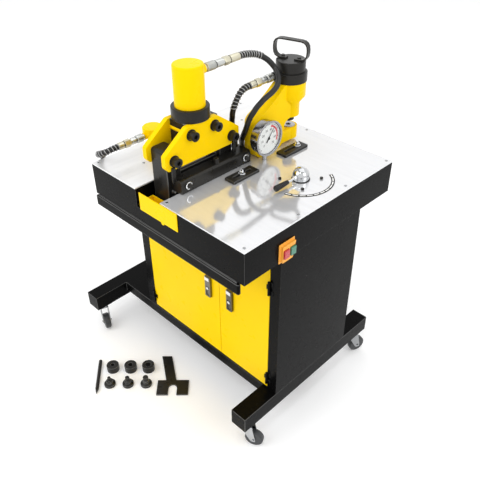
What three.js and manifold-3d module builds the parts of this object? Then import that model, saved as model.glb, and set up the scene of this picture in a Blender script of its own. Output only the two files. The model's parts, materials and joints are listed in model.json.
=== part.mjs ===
// Busbar processing machine: a wheeled cabinet with a stainless table that carries
// a cutter, a punch and a bender, each with its own hydraulic cylinder.
// Millimetres. X runs right along the door side, Y runs back, Z is up.
// The pieces are placed from a point on the floor below the middle of the table. At the end
// the whole machine is moved, so that the origin is on the floor in the middle of its outline.
import * as THREE from 'three';
import { mergeVertices } from 'three/addons/utils/BufferGeometryUtils.js';
import Module from 'manifold-3d';

const wasm = await Module();
wasm.setup();

// Driving sizes of the whole machine
const tableHeight = 818;
const tableWidth = 656;
const tableDepth = 650;
const plateThickness = 4;
const apronHeight = 103;
const beamSize = 60;
const beamBottom = 107;
const leftReach = 206;
const cabinetFrontInset = 142;
const cabinetBackInset = 148;
const cabinetLeftInset = 10;

// Clearances and overruns that all pieces share
const fitGap = 0.3;
const slideGap = 0.5;
const cutOverrun = 2;
const roundSides = 28;
const middleSides = 18;
const smallSides = 12;
const hexSides = 6;
const cornerSteps = 4;

// Table plates, apron and the trench for the cutter
const apronWall = 4;
const flangeWidth = 26;
const ribWidth = 30;
const ribInset = 111;
const seamGap = 1;
const trenchLeftRoom = 51;
const trenchRightRoom = 61;
const trenchBackRoom = 26;
const trenchDepth = 62;
const screwHeadRadius = 4.2;
const screwHeadHeight = 1.5;
const screwInset = 14;
const screwMiddle = 104;
const backScrewPlace = 328;

// Front rail below the apron and the scrap tray
const railThickness = 12;
const railProud = 6;
const railHeight = 33;
const railDrop = 5;
const railEndInset = 2;
const railRightInset = 17;
const trayPanelLeftRoom = 19;
const trayPanelRightRoom = 73;
const trayPanelThickness = 3;
const trayBoxDepth = 46;
const trayBoxHeight = 30;
const trayWall = 2;
const trayTopDrop = 4;
const trayTabShift = 69;
const trayTabRadius = 7;

// Base frame, cabinet and doors
const beamBackInset = 5;
const beamWall = 4;
const crossBarDepth = 40;
const crossBarHeight = 37;
const deckThickness = 3;
const cabinetWall = 3;
const leftPostWidth = 39;
const rightPostWidth = 37;
const postDepth = 30;
const sillHeight = 7;
const headerHeight = 44;
const doorGap = 2;
const doorSeamPlace = 252;
const doorSkin = 3;
const doorDepth = 14;
const doorFoldWidth = 3;
const hingeRadius = 4.2;
const hingeGap = 0.6;
const knuckleLength = 16;
const knuckleGap = 0.5;
const hingeBottomRoom = 44;
const hingeTopRoom = 69;
const leafWidth = 12;
const leafThickness = 1.6;
const latchWidth = 24;
const latchHeight = 84;
const latchThickness = 9;
const latchTopRoom = 214;
const latchRightPlace = 52;
const latchLeftPlace = 46;
const latchDishDepth = 3;
const latchDishInset = 5;

// Casters
const wheelRadius = 31;
const wheelWidth = 22;
const wheelShoulder = 3;
const hubRadius = 12;
const hubProud = 1;
const axleRadius = 4;
const casterTrail = 26;
const casterPlateSize = 54;
const casterPlateThickness = 4;
const swivelRadius = 21;
const swivelHeight = 10;
const forkThickness = 3;
const forkCrownWidth = 20;
const axleEyeRadius = 9;
const axleHeadThickness = 3;
const frontCasterInset = 40;
const backCasterInset = 45;
const casterTurns = { front_left: -20, front_right: 25, back_right: 70, back_left: 40 };

// Switch box on the right side of the apron
const switchInset = 159;
const switchDrop = 72;
const switchWidth = 62;
const switchTall = 62;
const switchPlateThickness = 3;
const switchBodyThickness = 9;
const switchBodyInset = 5;
const switchChamfer = 11;
const buttonWidth = 20;
const buttonTall = 26;
const buttonSpacing = 26;
const buttonProud = 5;
const buttonDepth = 8;

// Cutter
const cutterPlace = 269;
const cutterInset = 181;
const cutterPlate = 16;
const cutterCore = 66;
const cutterPlateBottom = 71;
const cutterPlateTop = 179;
const cutterTipBottom = 84;
const cutterTipTop = 118;
const cutterHalfBottom = 131;
const cutterHalfWide = 141;
const cutterHalfTop = 57;
const cutterLegTop = 118;
const cutterLegWidth = 50;
const cutterHalfLength = 126;
const cutterBaseTop = 8;
const cutterLegRound = 12;
const yokeHalfLength = 50;
const yokeBottom = 96;
const collarRadius = 55.5;
const collarHeight = 35;
const cutterCylinderRadius = 44;
const cutterCylinderTop = 331;
const cutterCylinderRound = 4;
const cutterCylinderWall = 8;
const cutterRamRadius = 22;
const bladeHolderHeight = 36;
const bladeHolderWidth = 34;
const bladeGap = 13;
const bladeSlope = 3;
const bladeWidth = 12;
const lowerBladeWidth = 12;
const cutterTravelSpare = 1.5;
const boltRadius = 8;
const boltHeadRadius = 14;
const boltHeadHeight = 18;
const boltSocketRadius = 7;
const boltSocketDepth = 9;
const washerRadius = 17;
const washerThickness = 3;
const lowerBoltSpread = 110;
const lowerBoltHeight = 98;
const upperBoltSpread = 44;
const upperBoltHeight = 153;
const guideBarReach = 42;
const guideBarFrontReach = 111;
const guideBarBackReach = 164;
const guideBarTop = 40;
const guideBarLift = 1;
const guideBarChamfer = 7;
const guideBoltHeight = 22;
const guideBoltShifts = [-86, 142];
const guideBoltRadius = 8;
const guideWasherRadius = 11;
const guideWasherThickness = 2;
const guideBoltHead = 8;
const strapWidth = 12;
const strapThickness = 5;
const stopScrewShift = 34;
const stopScrewRadius = 8;
const stopScrewHeight = 17;
const sideNutShift = 106;
const sideNutDrop = 7;
const sideNutRadius = 7.5;
const sideNutThickness = 14;

// Bender on the left plate, mostly behind the cutter
const benderPlace = 60;
const benderInset = 198;
const benderCapRadius = 33;
const benderCapTop = 75;
const benderCapFace = 47;
const benderCapBottom = 41;
const benderCapFoot = 26;
const benderCapRound = 3;
const benderBossRadius = 11;
const benderPortDrop = 23;
const benderBedWidth = 60;
const benderBedThickness = 12;
const benderBedShift = 15;
const benderBedLength = 242;
const benderBlockLength = 90;
const benderBlockWidth = 46;
const benderRamRadius = 12;
const benderRamHeight = 27;
const benderRamReach = 92;
const benderPunchLength = 22;
const benderPunchWidth = 40;
const benderPunchHeight = 26;
const benderNoseShare = 0.25;
const benderDieLength = 60;
const benderDieNotch = 16;
const benderDieMouth = 34;

// Punch
const punchPlace = 323;
const punchInset = 543;
const punchThickness = 50;
const punchJawTop = 50;
const punchJawBottom = 11;
const punchJawRadius = 29;
const punchThroatDepth = 52;
const punchFootStartReach = 162;
const punchFootEndReach = 68;
const punchBackReach = 184;
const punchBackRound = 16;
const headRadius = 50;
const headBottom = 152;
const headTop = 200;
const nozzleRadius = 33;
const nozzleTop = 130;
const nozzleBottom = 88;
const capFlangeRadius = 52.5;
const capFlangeTop = 230;
const capRadius = 46;
const capTop = 264;
const capRound = 2;
const punchRamRadius = 18;
const punchRamGuide = 60;
const punchRamBottom = 70;
const punchTipRadius = 7;
const punchTipBottom = 64;
const dieRadius = 22;
const dieHeight = 24;
const dieBore = 7.6;
const dieProud = 2;
const slugHoleRadius = 10;
const handleWidth = 117;
const handleHeight = 61;
const handleStrap = 5;
const handleDepth = 18;
const handleRound = 26;
const handleOpening = 28;
const handleTurn = 14;
const handleScrewPlace = 27;
const handleScrewRadius = 5.5;
const handleScrewHeight = 5;

// Slotted stop bars on the table
const stopBarWidth = 40;
const stopBarLength = 106;
const stopBarThickness = 9;
const stopSlotWidth = 9;
const stopSlotLength = 74;
const stopBarPlace = 390;
const stopBarInsets = [263, 488];
const stopBoltShift = 24;
const stopNutRadius = 9;
const stopNutThickness = 6;
const stopWasherRadius = 11;
const stopWasherThickness = 1.6;
const stopStudRadius = 4;
const stopStudHeight = 24;

// Pressure gauge
const gaugePlace = 354;
const gaugeInset = 385;
const gaugeHeight = 76;
const gaugeCaseRadius = 52;
const gaugeCaseDepth = 24;
const bezelRadius = 56;
const bezelDepth = 9;
const bezelLip = 6;
const dialRadius = 49;
const dialThickness = 1.2;
const dialDepth = 6;
const needleLength = 38;
const needleTail = 14;
const needleWidth = 3;
const needleThickness = 0.8;
const needleHubRadius = 4;
const needleAngle = 38;
const gaugeStemRadius = 7;
const gaugeHexRadius = 12;
const gaugeHexHeight = 14;
const gaugeStemPlace = 12;

// Selector valve, its lever and the segmented scale
const valvePlace = 132;
const valveInset = 370;
const valveBlockSize = 104;
const valveBlockHeight = 100;
const valveScrewSpread = 43;
const valveScrewRadius = 5;
const valveScrewHeight = 5;
const gasketRadius = 28;
const gasketThickness = 2;
const domeRadius = 25;
const domeWall = 13;
const spindleRadius = 8;
const spindleLength = 30;
const leverRadius = 4;
const leverLift = 14;
const gripStart = 58;
const gripEnd = 112;
const gripThin = 6.5;
const gripThick = 9.5;
const gripRound = 3;
const scaleInner = 90;
const scaleOuter = 98;
const scaleThickness = 0.8;
const scaleStart = -78;
const scaleEnd = 60;

// Hoses, quick couplers and their spring guards
const hoseRadius = 8.5;
const hoseSides = 8;
const hoseStep = 30;
const couplerRadius = 13;
const couplerWaist = 10;
const couplerRingWidth = 8;
const couplerSleeves = { cutter: 72, punch: 56, bender: 52 };
const couplerFerrules = { cutter: 62, punch: 46, bender: 45 };
const brassRadius = 11.5;
const brassNutRadius = 13;
const brassNutLength = 22;
const guardWire = 1.3;
const guardGap = 1.2;
const guardTurns = 8;
const guardLength = 96;
const guardRoot = 4;
const guardStepsPerTurn = 8;
const guardSides = 5;
const grommetRadius = 15;
const wallGrommetRadius = 20;
const hoseGap = 2;
const grommetFlange = 2;
const cutterPortHeight = 306;
const cutterPortShift = 9;
const punchPortHeight = 219;
const punchPortShift = -20;
const portBossRadius = 13;
const portBossReach = 5;
const portFittingRadius = 12;
const portFittingLength = 20;
const valvePortDepth = 84;
const valvePortShifts = [-15, 21, -47];
const cutterHoleShift = 14;
const cutterHoleReach = 193;
const punchHoleShift = 85;
const punchHoleReach = 158;
const hosePortRoom = 73;
const hosePortDrop = 61;

// Power pack inside the cabinet
const tankLeftRoom = 58;
const tankWidth = 300;
const tankFrontRoom = 73;
const tankDepth = 230;
const tankHeight = 190;
const tankBevel = 12;
const fillerRadius = 18;
const fillerHeight = 14;
const fillerPlace = 36;
const pumpSize = 90;
const pumpHeight = 60;
const motorRadius = 66;
const motorHeight = 190;
const motorFins = 2;
const motorFinDepth = 4;
const motorPlace = 170;
const motorInset = 110;

// Loose tools on the floor in front of the machine
const looseAngle = 45;
const toolRowPlace = 98;
const toolRowReach = 39;
const toolSpacing = 66;
const toolRowGap = 78;
const spareDieRadius = 23;
const spareDieDrop = 6;
const spareDieHeight = 26;
const spareDieBores = [7, 9, 11];
const spareHeadRadius = 21;
const spareHeadHeight = 9;
const spareNeckRadius = 12;
const spareNeckHeight = 14;
const spareTipHeight = 16;
const spareTipRadii = [6, 8, 10];
const scriberRadius = 6.5;
const scriberLength = 160;
const scriberPoint = 26;
const scriberShift = -70;
const scriberDrop = 9;
const scriberTurn = -85;
const forkLength = 184;
const forkStem = 38;
const forkHead = 114;
const forkHeadLength = 67;
const forkNotch = 30;
const forkNotchDepth = 46;
const forkLean = 26;
const forkOffset = 8;
const forkThick = 6;
const forkShift = 121;

// Values worked out from the driving sizes
const tableLeft = -tableWidth / 2;
const tableRight = tableWidth / 2;
const tableFront = -tableDepth / 2;
const tableBack = tableDepth / 2;
const plateBottom = tableHeight - plateThickness;
const apronBottom = plateBottom - apronHeight;
const beamTop = beamBottom + beamSize;
const leftBeamOuter = tableLeft - leftReach;
const cabinetLeft = tableLeft + cabinetLeftInset;
const cutterX = tableLeft + cutterPlace;
const cutterY = tableFront + cutterInset;
const punchX = tableLeft + punchPlace;
const punchY = tableFront + punchInset;
const benderX = tableLeft + benderPlace;
const benderCapY = tableFront + benderInset;
const benderBedStart = benderCapY + benderBedShift;
const benderBedEnd = benderBedStart + benderBedLength;
const gaugeX = tableLeft + gaugePlace;
const gaugeY = tableFront + gaugeInset;
const valveX = tableRight - valvePlace;
const valveY = tableFront + valveInset;
const stopBarX = tableLeft + stopBarPlace;
const stopBarYs = stopBarInsets.map((inset) => tableFront + inset);
const cabinetFront = tableFront + cabinetFrontInset;
const cabinetBack = tableBack - cabinetBackInset;
const beamFront = tableFront;
const beamBack = tableBack - beamBackInset;
const trenchLeft = cutterX - trenchLeftRoom;
const trenchRight = cutterX + trenchRightRoom;
const trenchBack = cutterY + cutterHalfLength + trenchBackRoom;
const trenchFloor = tableHeight - trenchDepth;
const trayPanelLeft = trenchLeft + trayPanelLeftRoom;
const trayPanelRight = trenchRight + trayPanelRightRoom;
const switchPlace = tableFront + switchInset;
const switchHeight = plateBottom - switchDrop;
const doorSeam = tableRight - doorSeamPlace;
const ribPlaces = [tableFront + ribInset, tableBack - ribInset];
const doorBottom = beamTop + sillHeight + doorGap;
const doorTop = apronBottom - headerHeight - doorGap;
const hingeHeights = [doorBottom + hingeBottomRoom, doorTop - hingeTopRoom];
const latchCentre = doorTop - latchTopRoom;
const frontCasterPlace = tableFront + frontCasterInset;
const backCasterPlace = tableBack - backCasterInset;
const hingeAxisY = cabinetFront - hingeRadius - hingeGap;
const casterPlaces = {
  front_left: [leftBeamOuter + beamSize / 2, frontCasterPlace],
  front_right: [tableRight - beamSize / 2, frontCasterPlace],
  back_right: [tableRight - beamSize / 2, backCasterPlace],
  back_left: [leftBeamOuter + beamSize / 2, backCasterPlace],
};
const rightHingeX = tableRight - rightPostWidth - doorGap / 2;
const leftHingeX = cabinetLeft + leftPostWidth + doorGap / 2;
const tankLeft = cabinetLeft + tankLeftRoom;
const tankFront = cabinetFront + tankFrontRoom;
const motorX = tankLeft + motorPlace;
const motorY = tankFront + motorInset;

// Finishes
function paint(colour, roughness, metalness) {
  return new THREE.MeshStandardMaterial({ color: colour, roughness, metalness });
}

const finishes = {
  blackPaint: () => paint(0x17181a, 0.35, 0.1),
  yellowPaint: () => paint(0xf2c500, 0.45, 0.0),
  stainless: () => paint(0xd9dcde, 0.12, 1.0),
  chrome: () => paint(0xc8ccd0, 0.18, 1.0),
  darkSteel: () => paint(0x2a2b2d, 0.5, 0.6),
  brightSteel: () => paint(0x9b9ea2, 0.3, 0.9),
  brass: () => paint(0xb9a777, 0.35, 0.9),
  rubber: () => paint(0x151515, 0.8, 0.0),
  orange: () => paint(0xf08a18, 0.5, 0.0),
  red: () => paint(0xc0202c, 0.4, 0.0),
  green: () => paint(0x1f7a4a, 0.4, 0.0),
  dialWhite: () => paint(0xf3f3ef, 0.5, 0.0),
  greyPaint: () => paint(0x6d7276, 0.5, 0.2),
};

// Solid helpers
function toSolid(geometry) {
  const bare = geometry.clone();
  bare.deleteAttribute('normal');
  bare.deleteAttribute('uv');
  const merged = mergeVertices(bare);
  const source = merged.index.array;
  const kept = [];
  for (let i = 0; i < source.length; i += 3) {
    const [a, b, c] = [source[i], source[i + 1], source[i + 2]];
    if (a !== b && b !== c && c !== a) kept.push(a, b, c);
  }
  return new wasm.Manifold(new wasm.Mesh({
    numProp: 3,
    vertProperties: new Float32Array(merged.attributes.position.array),
    triVerts: new Uint32Array(kept),
  }));
}

function toGeometry(solid) {
  const mesh = solid.getMesh();
  const geometry = new THREE.BufferGeometry();
  geometry.setAttribute('position', new THREE.BufferAttribute(new Float32Array(mesh.vertProperties), 3));
  geometry.setIndex(new THREE.BufferAttribute(new Uint32Array(mesh.triVerts), 1));
  geometry.computeVertexNormals();
  return geometry;
}

function join(...pieces) {
  return toGeometry(pieces.map(toSolid).reduce((whole, piece) => whole.add(piece)));
}

function cut(body, ...tools) {
  return toGeometry(tools.map(toSolid).reduce((whole, tool) => whole.subtract(tool), toSolid(body)));
}

function overlap(first, second) {
  return toGeometry(toSolid(first).intersect(toSolid(second)));
}

function box(x0, x1, y0, y1, z0, z1) {
  const shape = new THREE.BoxGeometry(x1 - x0, y1 - y0, z1 - z0);
  return shape.translate((x0 + x1) / 2, (y0 + y1) / 2, (z0 + z1) / 2);
}

function rodZ(x, y, radius, z0, z1, sides = middleSides) {
  const shape = new THREE.CylinderGeometry(radius, radius, z1 - z0, sides);
  return shape.rotateX(Math.PI / 2).translate(x, y, (z0 + z1) / 2);
}

function rodY(x, z, radius, y0, y1, sides = middleSides) {
  const shape = new THREE.CylinderGeometry(radius, radius, y1 - y0, sides);
  return shape.translate(x, (y0 + y1) / 2, z);
}

function rodX(y, z, radius, x0, x1, sides = middleSides) {
  const shape = new THREE.CylinderGeometry(radius, radius, x1 - x0, sides);
  return shape.rotateZ(Math.PI / 2).translate((x0 + x1) / 2, y, z);
}

// A body turned about a vertical axis from [radius, height] points
function turned(x, y, points, sides = roundSides) {
  const profile = points.map(([radius, height]) => new THREE.Vector2(radius, height));
  return new THREE.LatheGeometry(profile, sides).rotateX(Math.PI / 2).translate(x, y, 0);
}

// A closed outline with its corners rounded
function roundedOutline(points, radius) {
  const shape = new THREE.Shape();
  const corners = points.map(([u, v]) => new THREE.Vector2(u, v));
  corners.forEach((corner, i) => {
    const before = corners[(i + corners.length - 1) % corners.length];
    const after = corners[(i + 1) % corners.length];
    const reachIn = Math.min(radius, corner.distanceTo(before) / 2);
    const reachOut = Math.min(radius, corner.distanceTo(after) / 2);
    const start = corner.clone().lerp(before, reachIn / corner.distanceTo(before));
    const end = corner.clone().lerp(after, reachOut / corner.distanceTo(after));
    if (i === 0) shape.moveTo(start.x, start.y);
    else shape.lineTo(start.x, start.y);
    shape.quadraticCurveTo(corner.x, corner.y, end.x, end.y);
  });
  shape.closePath();
  return shape;
}

function plainOutline(points) {
  return new THREE.Shape(points.map(([u, v]) => new THREE.Vector2(u, v)));
}

function thicken(shape, length) {
  return new THREE.ExtrudeGeometry(shape, { depth: length, bevelEnabled: false, curveSegments: cornerSteps });
}

// Outlines drawn in Y and Z and run along X
function prismX(shape, x0, x1) {
  const axes = new THREE.Matrix4().makeBasis(
    new THREE.Vector3(0, 1, 0),
    new THREE.Vector3(0, 0, 1),
    new THREE.Vector3(1, 0, 0),
  );
  return thicken(shape, x1 - x0).applyMatrix4(axes).translate(x0, 0, 0);
}

// Outlines drawn in X and Z and run along Y
function prismY(shape, y0, y1) {
  return thicken(shape, y1 - y0).rotateX(Math.PI / 2).translate(0, y1, 0);
}

// Outlines drawn in X and Y and run along Z
function prismZ(shape, z0, z1) {
  return thicken(shape, z1 - z0).translate(0, 0, z0);
}

const machine = new THREE.Group();

function addPiece(name, geometry, material, parent = machine) {
  const mesh = new THREE.Mesh(geometry, material);
  mesh.name = name;
  parent.add(mesh);
  return mesh;
}

// Base frame: two long beams, two cross bars and the deck plate
function hollowBeam(x0, x1) {
  const drain = rodZ((x0 + x1) / 2, 0, hubRadius, beamBottom - cutOverrun, beamBottom + beamWall + cutOverrun,
    smallSides);
  return cut(
    box(x0, x1, beamFront, beamBack, beamBottom, beamTop),
    box(x0 + beamWall, x1 - beamWall, beamFront + beamWall, beamBack - beamWall,
      beamBottom + beamWall, beamTop - beamWall),
    drain,
  );
}

function addBase() {
  const barTop = beamTop - deckThickness;
  const barBottom = barTop - crossBarHeight;
  const leftInner = leftBeamOuter + beamSize;
  const rightInner = tableRight - beamSize;
  const rooted = beamWall / 2;
  addPiece('base_frame', join(
    hollowBeam(leftBeamOuter, leftInner),
    hollowBeam(rightInner, tableRight),
    box(leftInner - rooted, rightInner + rooted, cabinetFront, cabinetFront + crossBarDepth, barBottom,
      barTop + rooted / 2),
    box(leftInner - rooted, rightInner + rooted, cabinetBack - crossBarDepth, cabinetBack, barBottom,
      barTop + rooted / 2),
    box(leftInner - rooted, rightInner + rooted, cabinetFront, cabinetBack, barTop, beamTop),
    ...casterPlates(),
  ), finishes.blackPaint());
}

function casterPlates() {
  const half = casterPlateSize / 2;
  return Object.values(casterPlaces).map(([x, y]) => box(
    x - half, x + half, y - half, y + half, beamBottom - casterPlateThickness, beamBottom + beamWall / 2,
  ));
}

// Casters: a fork that swivels below the beam's plate, and the wheel
function casterFork() {
  const crownTop = beamBottom - casterPlateThickness - fitGap;
  const crownBottom = crownTop - swivelHeight;
  const legInner = wheelWidth / 2 + hubProud + slideGap;
  const legOutline = () => roundedOutline([
    [-swivelRadius, crownBottom],
    [casterTrail - axleEyeRadius, wheelRadius - axleEyeRadius],
    [casterTrail + axleEyeRadius, wheelRadius - axleEyeRadius],
    [swivelRadius, crownBottom],
  ], axleEyeRadius);
  const crownHalf = legInner + forkThickness;
  return join(
    rodZ(0, 0, swivelRadius, crownBottom, crownTop),
    box(-swivelRadius + forkThickness, forkCrownWidth, -crownHalf, crownHalf,
      crownBottom - forkThickness, crownBottom),
    prismY(legOutline(), legInner, crownHalf),
    prismY(legOutline(), -crownHalf, -legInner),
    rodY(casterTrail, wheelRadius, axleRadius, -crownHalf - axleHeadThickness,
      crownHalf + axleHeadThickness, smallSides),
  );
}

function casterWheel() {
  const half = wheelWidth / 2;
  const bore = axleRadius + fitGap;
  const shoulder = wheelRadius - wheelShoulder;
  const profile = [
    [bore, -half - hubProud],
    [hubRadius, -half - hubProud],
    [hubRadius, -half],
    [shoulder, -half],
    [wheelRadius, -half + wheelShoulder],
    [wheelRadius, half - wheelShoulder],
    [shoulder, half],
    [hubRadius, half],
    [hubRadius, half + hubProud],
    [bore, half + hubProud],
    [bore, -half - hubProud],
  ];
  const lathe = new THREE.LatheGeometry(profile.map(([r, y]) => new THREE.Vector2(r, y)), middleSides);
  return toGeometry(toSolid(lathe.translate(casterTrail, 0, wheelRadius)));
}

function addCasters() {
  for (const [corner, [x, y]] of Object.entries(casterPlaces)) {
    const caster = new THREE.Group();
    caster.position.set(x, y, 0);
    caster.rotation.z = THREE.MathUtils.degToRad(casterTurns[corner]);
    machine.add(caster);
    addPiece(`caster_fork_${corner}`, casterFork(), finishes.chrome(), caster);
    addPiece(`caster_wheel_${corner}`, casterWheel(), finishes.rubber(), caster);
  }
}

// Cabinet: folded sheet with two front posts, open to the doors
function addCabinet() {
  const leftEdge = cabinetLeft + leftPostWidth;
  const rightEdge = tableRight - rightPostWidth;
  const doorway = box(leftEdge, rightEdge, cabinetFront - cutOverrun, cabinetFront + postDepth + cutOverrun,
    beamTop + sillHeight, apronBottom - headerHeight);
  const inside = box(cabinetLeft + cabinetWall, tableRight - cabinetWall, cabinetFront + postDepth,
    cabinetBack - cabinetWall, beamTop - cutOverrun, apronBottom + cutOverrun);
  const backOfSill = box(leftEdge, rightEdge, cabinetFront + cabinetWall,
    cabinetFront + postDepth + cutOverrun, beamTop - cutOverrun, apronBottom + cutOverrun);
  const benderHose = curveOf(hoseRoutes.bender);
  const hosePort = sweep(benderHose, hoseRadius + hoseGap, hoseSides, hoseSteps(benderHose));
  const hoseLip = rodX(hosePortY, hosePortZ, wallGrommetRadius, cabinetLeft - grommetFlange,
    cabinetLeft + cabinetWall / 2);
  const shell = cut(
    join(box(cabinetLeft, tableRight, cabinetFront, cabinetBack, beamTop, apronBottom), hoseLip),
    doorway,
    inside,
    backOfSill,
    hosePort,
  );
  const knuckles = [];
  for (const height of hingeHeights) {
    for (const side of [-1, 1]) {
      const centre = height + side * (knuckleLength + knuckleGap);
      knuckles.push(...postKnuckle(rightHingeX, 1, centre));
      knuckles.push(...postKnuckle(leftHingeX, -1, centre));
    }
  }
  addPiece('cabinet_shell', join(shell, ...knuckles), finishes.blackPaint());
}

function postKnuckle(hingeX, side, centre) {
  const bottom = centre - knuckleLength / 2;
  const top = centre + knuckleLength / 2;
  const inner = Math.min(hingeX, hingeX + side * leafWidth);
  const outer = Math.max(hingeX, hingeX + side * leafWidth);
  return [
    rodZ(hingeX, hingeAxisY, hingeRadius, bottom, top, smallSides),
    box(side > 0 ? inner + doorGap / 2 + slideGap : inner, side > 0 ? outer : outer - doorGap / 2 - slideGap,
      cabinetFront - hingeGap - leafThickness, cabinetFront + cabinetWall / 2, bottom, top),
    box(side > 0 ? hingeX : inner, side > 0 ? outer : hingeX,
      cabinetFront - hingeGap - leafThickness, cabinetFront - hingeGap, bottom, top),
  ];
}

// Doors: a folded pan with a barrel at the hinge edge
function addDoor(name, edgeNear, edgeFar, hingeX, side) {
  const pan = cut(
    box(edgeNear, edgeFar, cabinetFront, cabinetFront + doorDepth, doorBottom, doorTop),
    box(edgeNear + doorFoldWidth, edgeFar - doorFoldWidth, cabinetFront + doorSkin,
      cabinetFront + doorDepth + cutOverrun, doorBottom + doorFoldWidth, doorTop - doorFoldWidth),
  );
  const barrels = hingeHeights.flatMap((height) => {
    const bottom = height - knuckleLength / 2;
    const top = height + knuckleLength / 2;
    const leafEnd = hingeX - side * leafWidth;
    return [
      rodZ(hingeX, hingeAxisY, hingeRadius, bottom, top, smallSides),
      box(Math.min(hingeX, leafEnd), Math.max(hingeX, leafEnd), cabinetFront - hingeGap - leafThickness,
        cabinetFront - hingeGap, bottom, top),
      box(Math.min(leafEnd, leafEnd + side * leafWidth / 2),
        Math.max(leafEnd, leafEnd + side * leafWidth / 2),
        cabinetFront - hingeGap - leafThickness, cabinetFront + doorSkin / 2, bottom, top),
    ];
  });
  addPiece(name, join(pan, ...barrels), finishes.yellowPaint());
}

function addLatch(name, place) {
  const half = latchWidth / 2;
  const bottom = latchCentre - latchHeight / 2;
  const top = latchCentre + latchHeight / 2;
  const back = cabinetFront - fitGap;
  const front = back - latchThickness;
  const body = prismY(roundedOutline([
    [place - half, bottom], [place + half, bottom], [place + half, top], [place - half, top],
  ], latchDishDepth), front, back);
  const dish = box(place - half + latchDishInset, place + half - latchDishInset, front - cutOverrun,
    front + latchDishDepth, bottom + latchDishInset, latchCentre);
  const key = rodY(place, latchCentre + latchHeight / 4, half / 2, front - latchDishDepth / 2,
    front + latchDishDepth, smallSides);
  addPiece(name, join(cut(body, dish), key), finishes.chrome());
}

function addDoors() {
  const leftEdge = cabinetLeft + leftPostWidth + doorGap;
  const rightEdge = tableRight - rightPostWidth - doorGap;
  addDoor('door_left', leftEdge, doorSeam - doorGap / 2, leftHingeX, -1);
  addDoor('door_right', doorSeam + doorGap / 2, rightEdge, rightHingeX, 1);
  addLatch('latch_left', doorSeam - latchLeftPlace);
  addLatch('latch_right', doorSeam + latchRightPlace);
}

// Apron: four walls with a top flange, two ribs and the trench for the cutter
function addApron() {
  const inner = [
    tableLeft + apronWall, tableRight - apronWall, tableFront + apronWall, tableBack - apronWall,
  ];
  const skirt = cut(
    box(tableLeft, tableRight, tableFront, tableBack, apronBottom, plateBottom),
    box(...inner, apronBottom - cutOverrun, plateBottom - apronWall),
    box(tableLeft + flangeWidth, tableRight - flangeWidth, tableFront + flangeWidth, tableBack - flangeWidth,
      apronBottom - cutOverrun, plateBottom + cutOverrun),
  );
  const ribs = ribPlaces.map((y) => box(
    tableLeft + flangeWidth / 2, tableRight - flangeWidth / 2, y - ribWidth / 2, y + ribWidth / 2,
    plateBottom - apronWall, plateBottom,
  ));
  const channel = box(trenchLeft - apronWall, trenchRight + apronWall, tableFront + apronWall / 2,
    trenchBack + apronWall, trenchFloor - apronWall, plateBottom);
  const hollow = box(trenchLeft, trenchRight, tableFront - cutOverrun, trenchBack, trenchFloor,
    plateBottom + cutOverrun);
  addPiece('apron', cut(join(skirt, ...ribs, channel), hollow), finishes.blackPaint());

  const half = railThickness / 2;
  const railBack = tableFront - railProud + railThickness;
  const railTop = apronBottom - railDrop;
  const railBar = prismZ(roundedOutline([
    [tableLeft + railEndInset, tableFront - railProud], [tableRight - railRightInset, tableFront - railProud],
    [tableRight - railRightInset, railBack], [tableLeft + railEndInset, railBack],
  ], half), railTop - railHeight, railTop);
  const web = box(tableLeft + railThickness, tableRight - railRightInset - railThickness, tableFront,
    tableFront + apronWall, railTop - apronWall, apronBottom);
  addPiece('front_rail', join(railBar, web), finishes.blackPaint());
}

// A low screw head sunk a little into the plate
function screwHead(x, y) {
  return rodZ(x, y, screwHeadRadius, plateBottom, tableHeight + screwHeadHeight, smallSides);
}

// Stainless plates: the left one, and the right one that wraps behind the trench
function addPlates() {
  const right = tableRight - screwInset;
  const left = tableLeft + screwInset;
  const front = tableFront + screwInset;
  const back = tableBack - screwInset;
  const leftMiddle = (left + trenchLeft) / 2;
  const leftScrews = [
    [left, front], [left, 0], [left, back], [trenchLeft - screwInset - screwInset, back],
    ...ribPlaces.map((y) => [leftMiddle, y]),
  ];
  addPiece('table_plate_left', join(
    box(tableLeft, trenchLeft - seamGap / 2, tableFront, tableBack, plateBottom, tableHeight),
    ...leftScrews.map(([x, y]) => screwHead(x, y)),
  ), finishes.stainless());

  const rightOutline = plainOutline([
    [trenchLeft + seamGap / 2, trenchBack], [trenchRight, trenchBack], [trenchRight, tableFront],
    [tableRight, tableFront], [tableRight, tableBack], [trenchLeft + seamGap / 2, tableBack],
  ]);
  const rightScrews = [
    [right, front], [right, -screwMiddle], [right, screwMiddle], [right, back],
    [trenchRight + screwInset, front], [tableLeft + backScrewPlace, back],
  ];
  const low = plateBottom - cutOverrun;
  const high = tableHeight + grommetFlange + cutOverrun;
  const hosePlaces = [[cutterHoleX, cutterHoleY], [punchHoleX, punchHoleY]];
  addPiece('table_plate_right', cut(
    join(
      prismZ(rightOutline, plateBottom, tableHeight),
      ...rightScrews.map(([x, y]) => screwHead(x, y)),
      ...hosePlaces.map(([x, y]) => hoseLipZ(x, y)),
      ...stopStuds(),
      ...valveBody(),
    ),
    ...hosePlaces.map(([x, y]) => rodZ(x, y, hoseRadius + hoseGap, low, high)),
    rodZ(valveX, valveY, spindleRadius + fitGap, plateBottom - spindleLength, high),
    rodZ(gaugeX + gaugeStemPlace, gaugeY, gaugeStemRadius + fitGap, low, high),
  ), finishes.stainless());
}

function hoseLipZ(x, y) {
  return rodZ(x, y, grommetRadius, plateBottom, tableHeight + grommetFlange);
}

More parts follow.
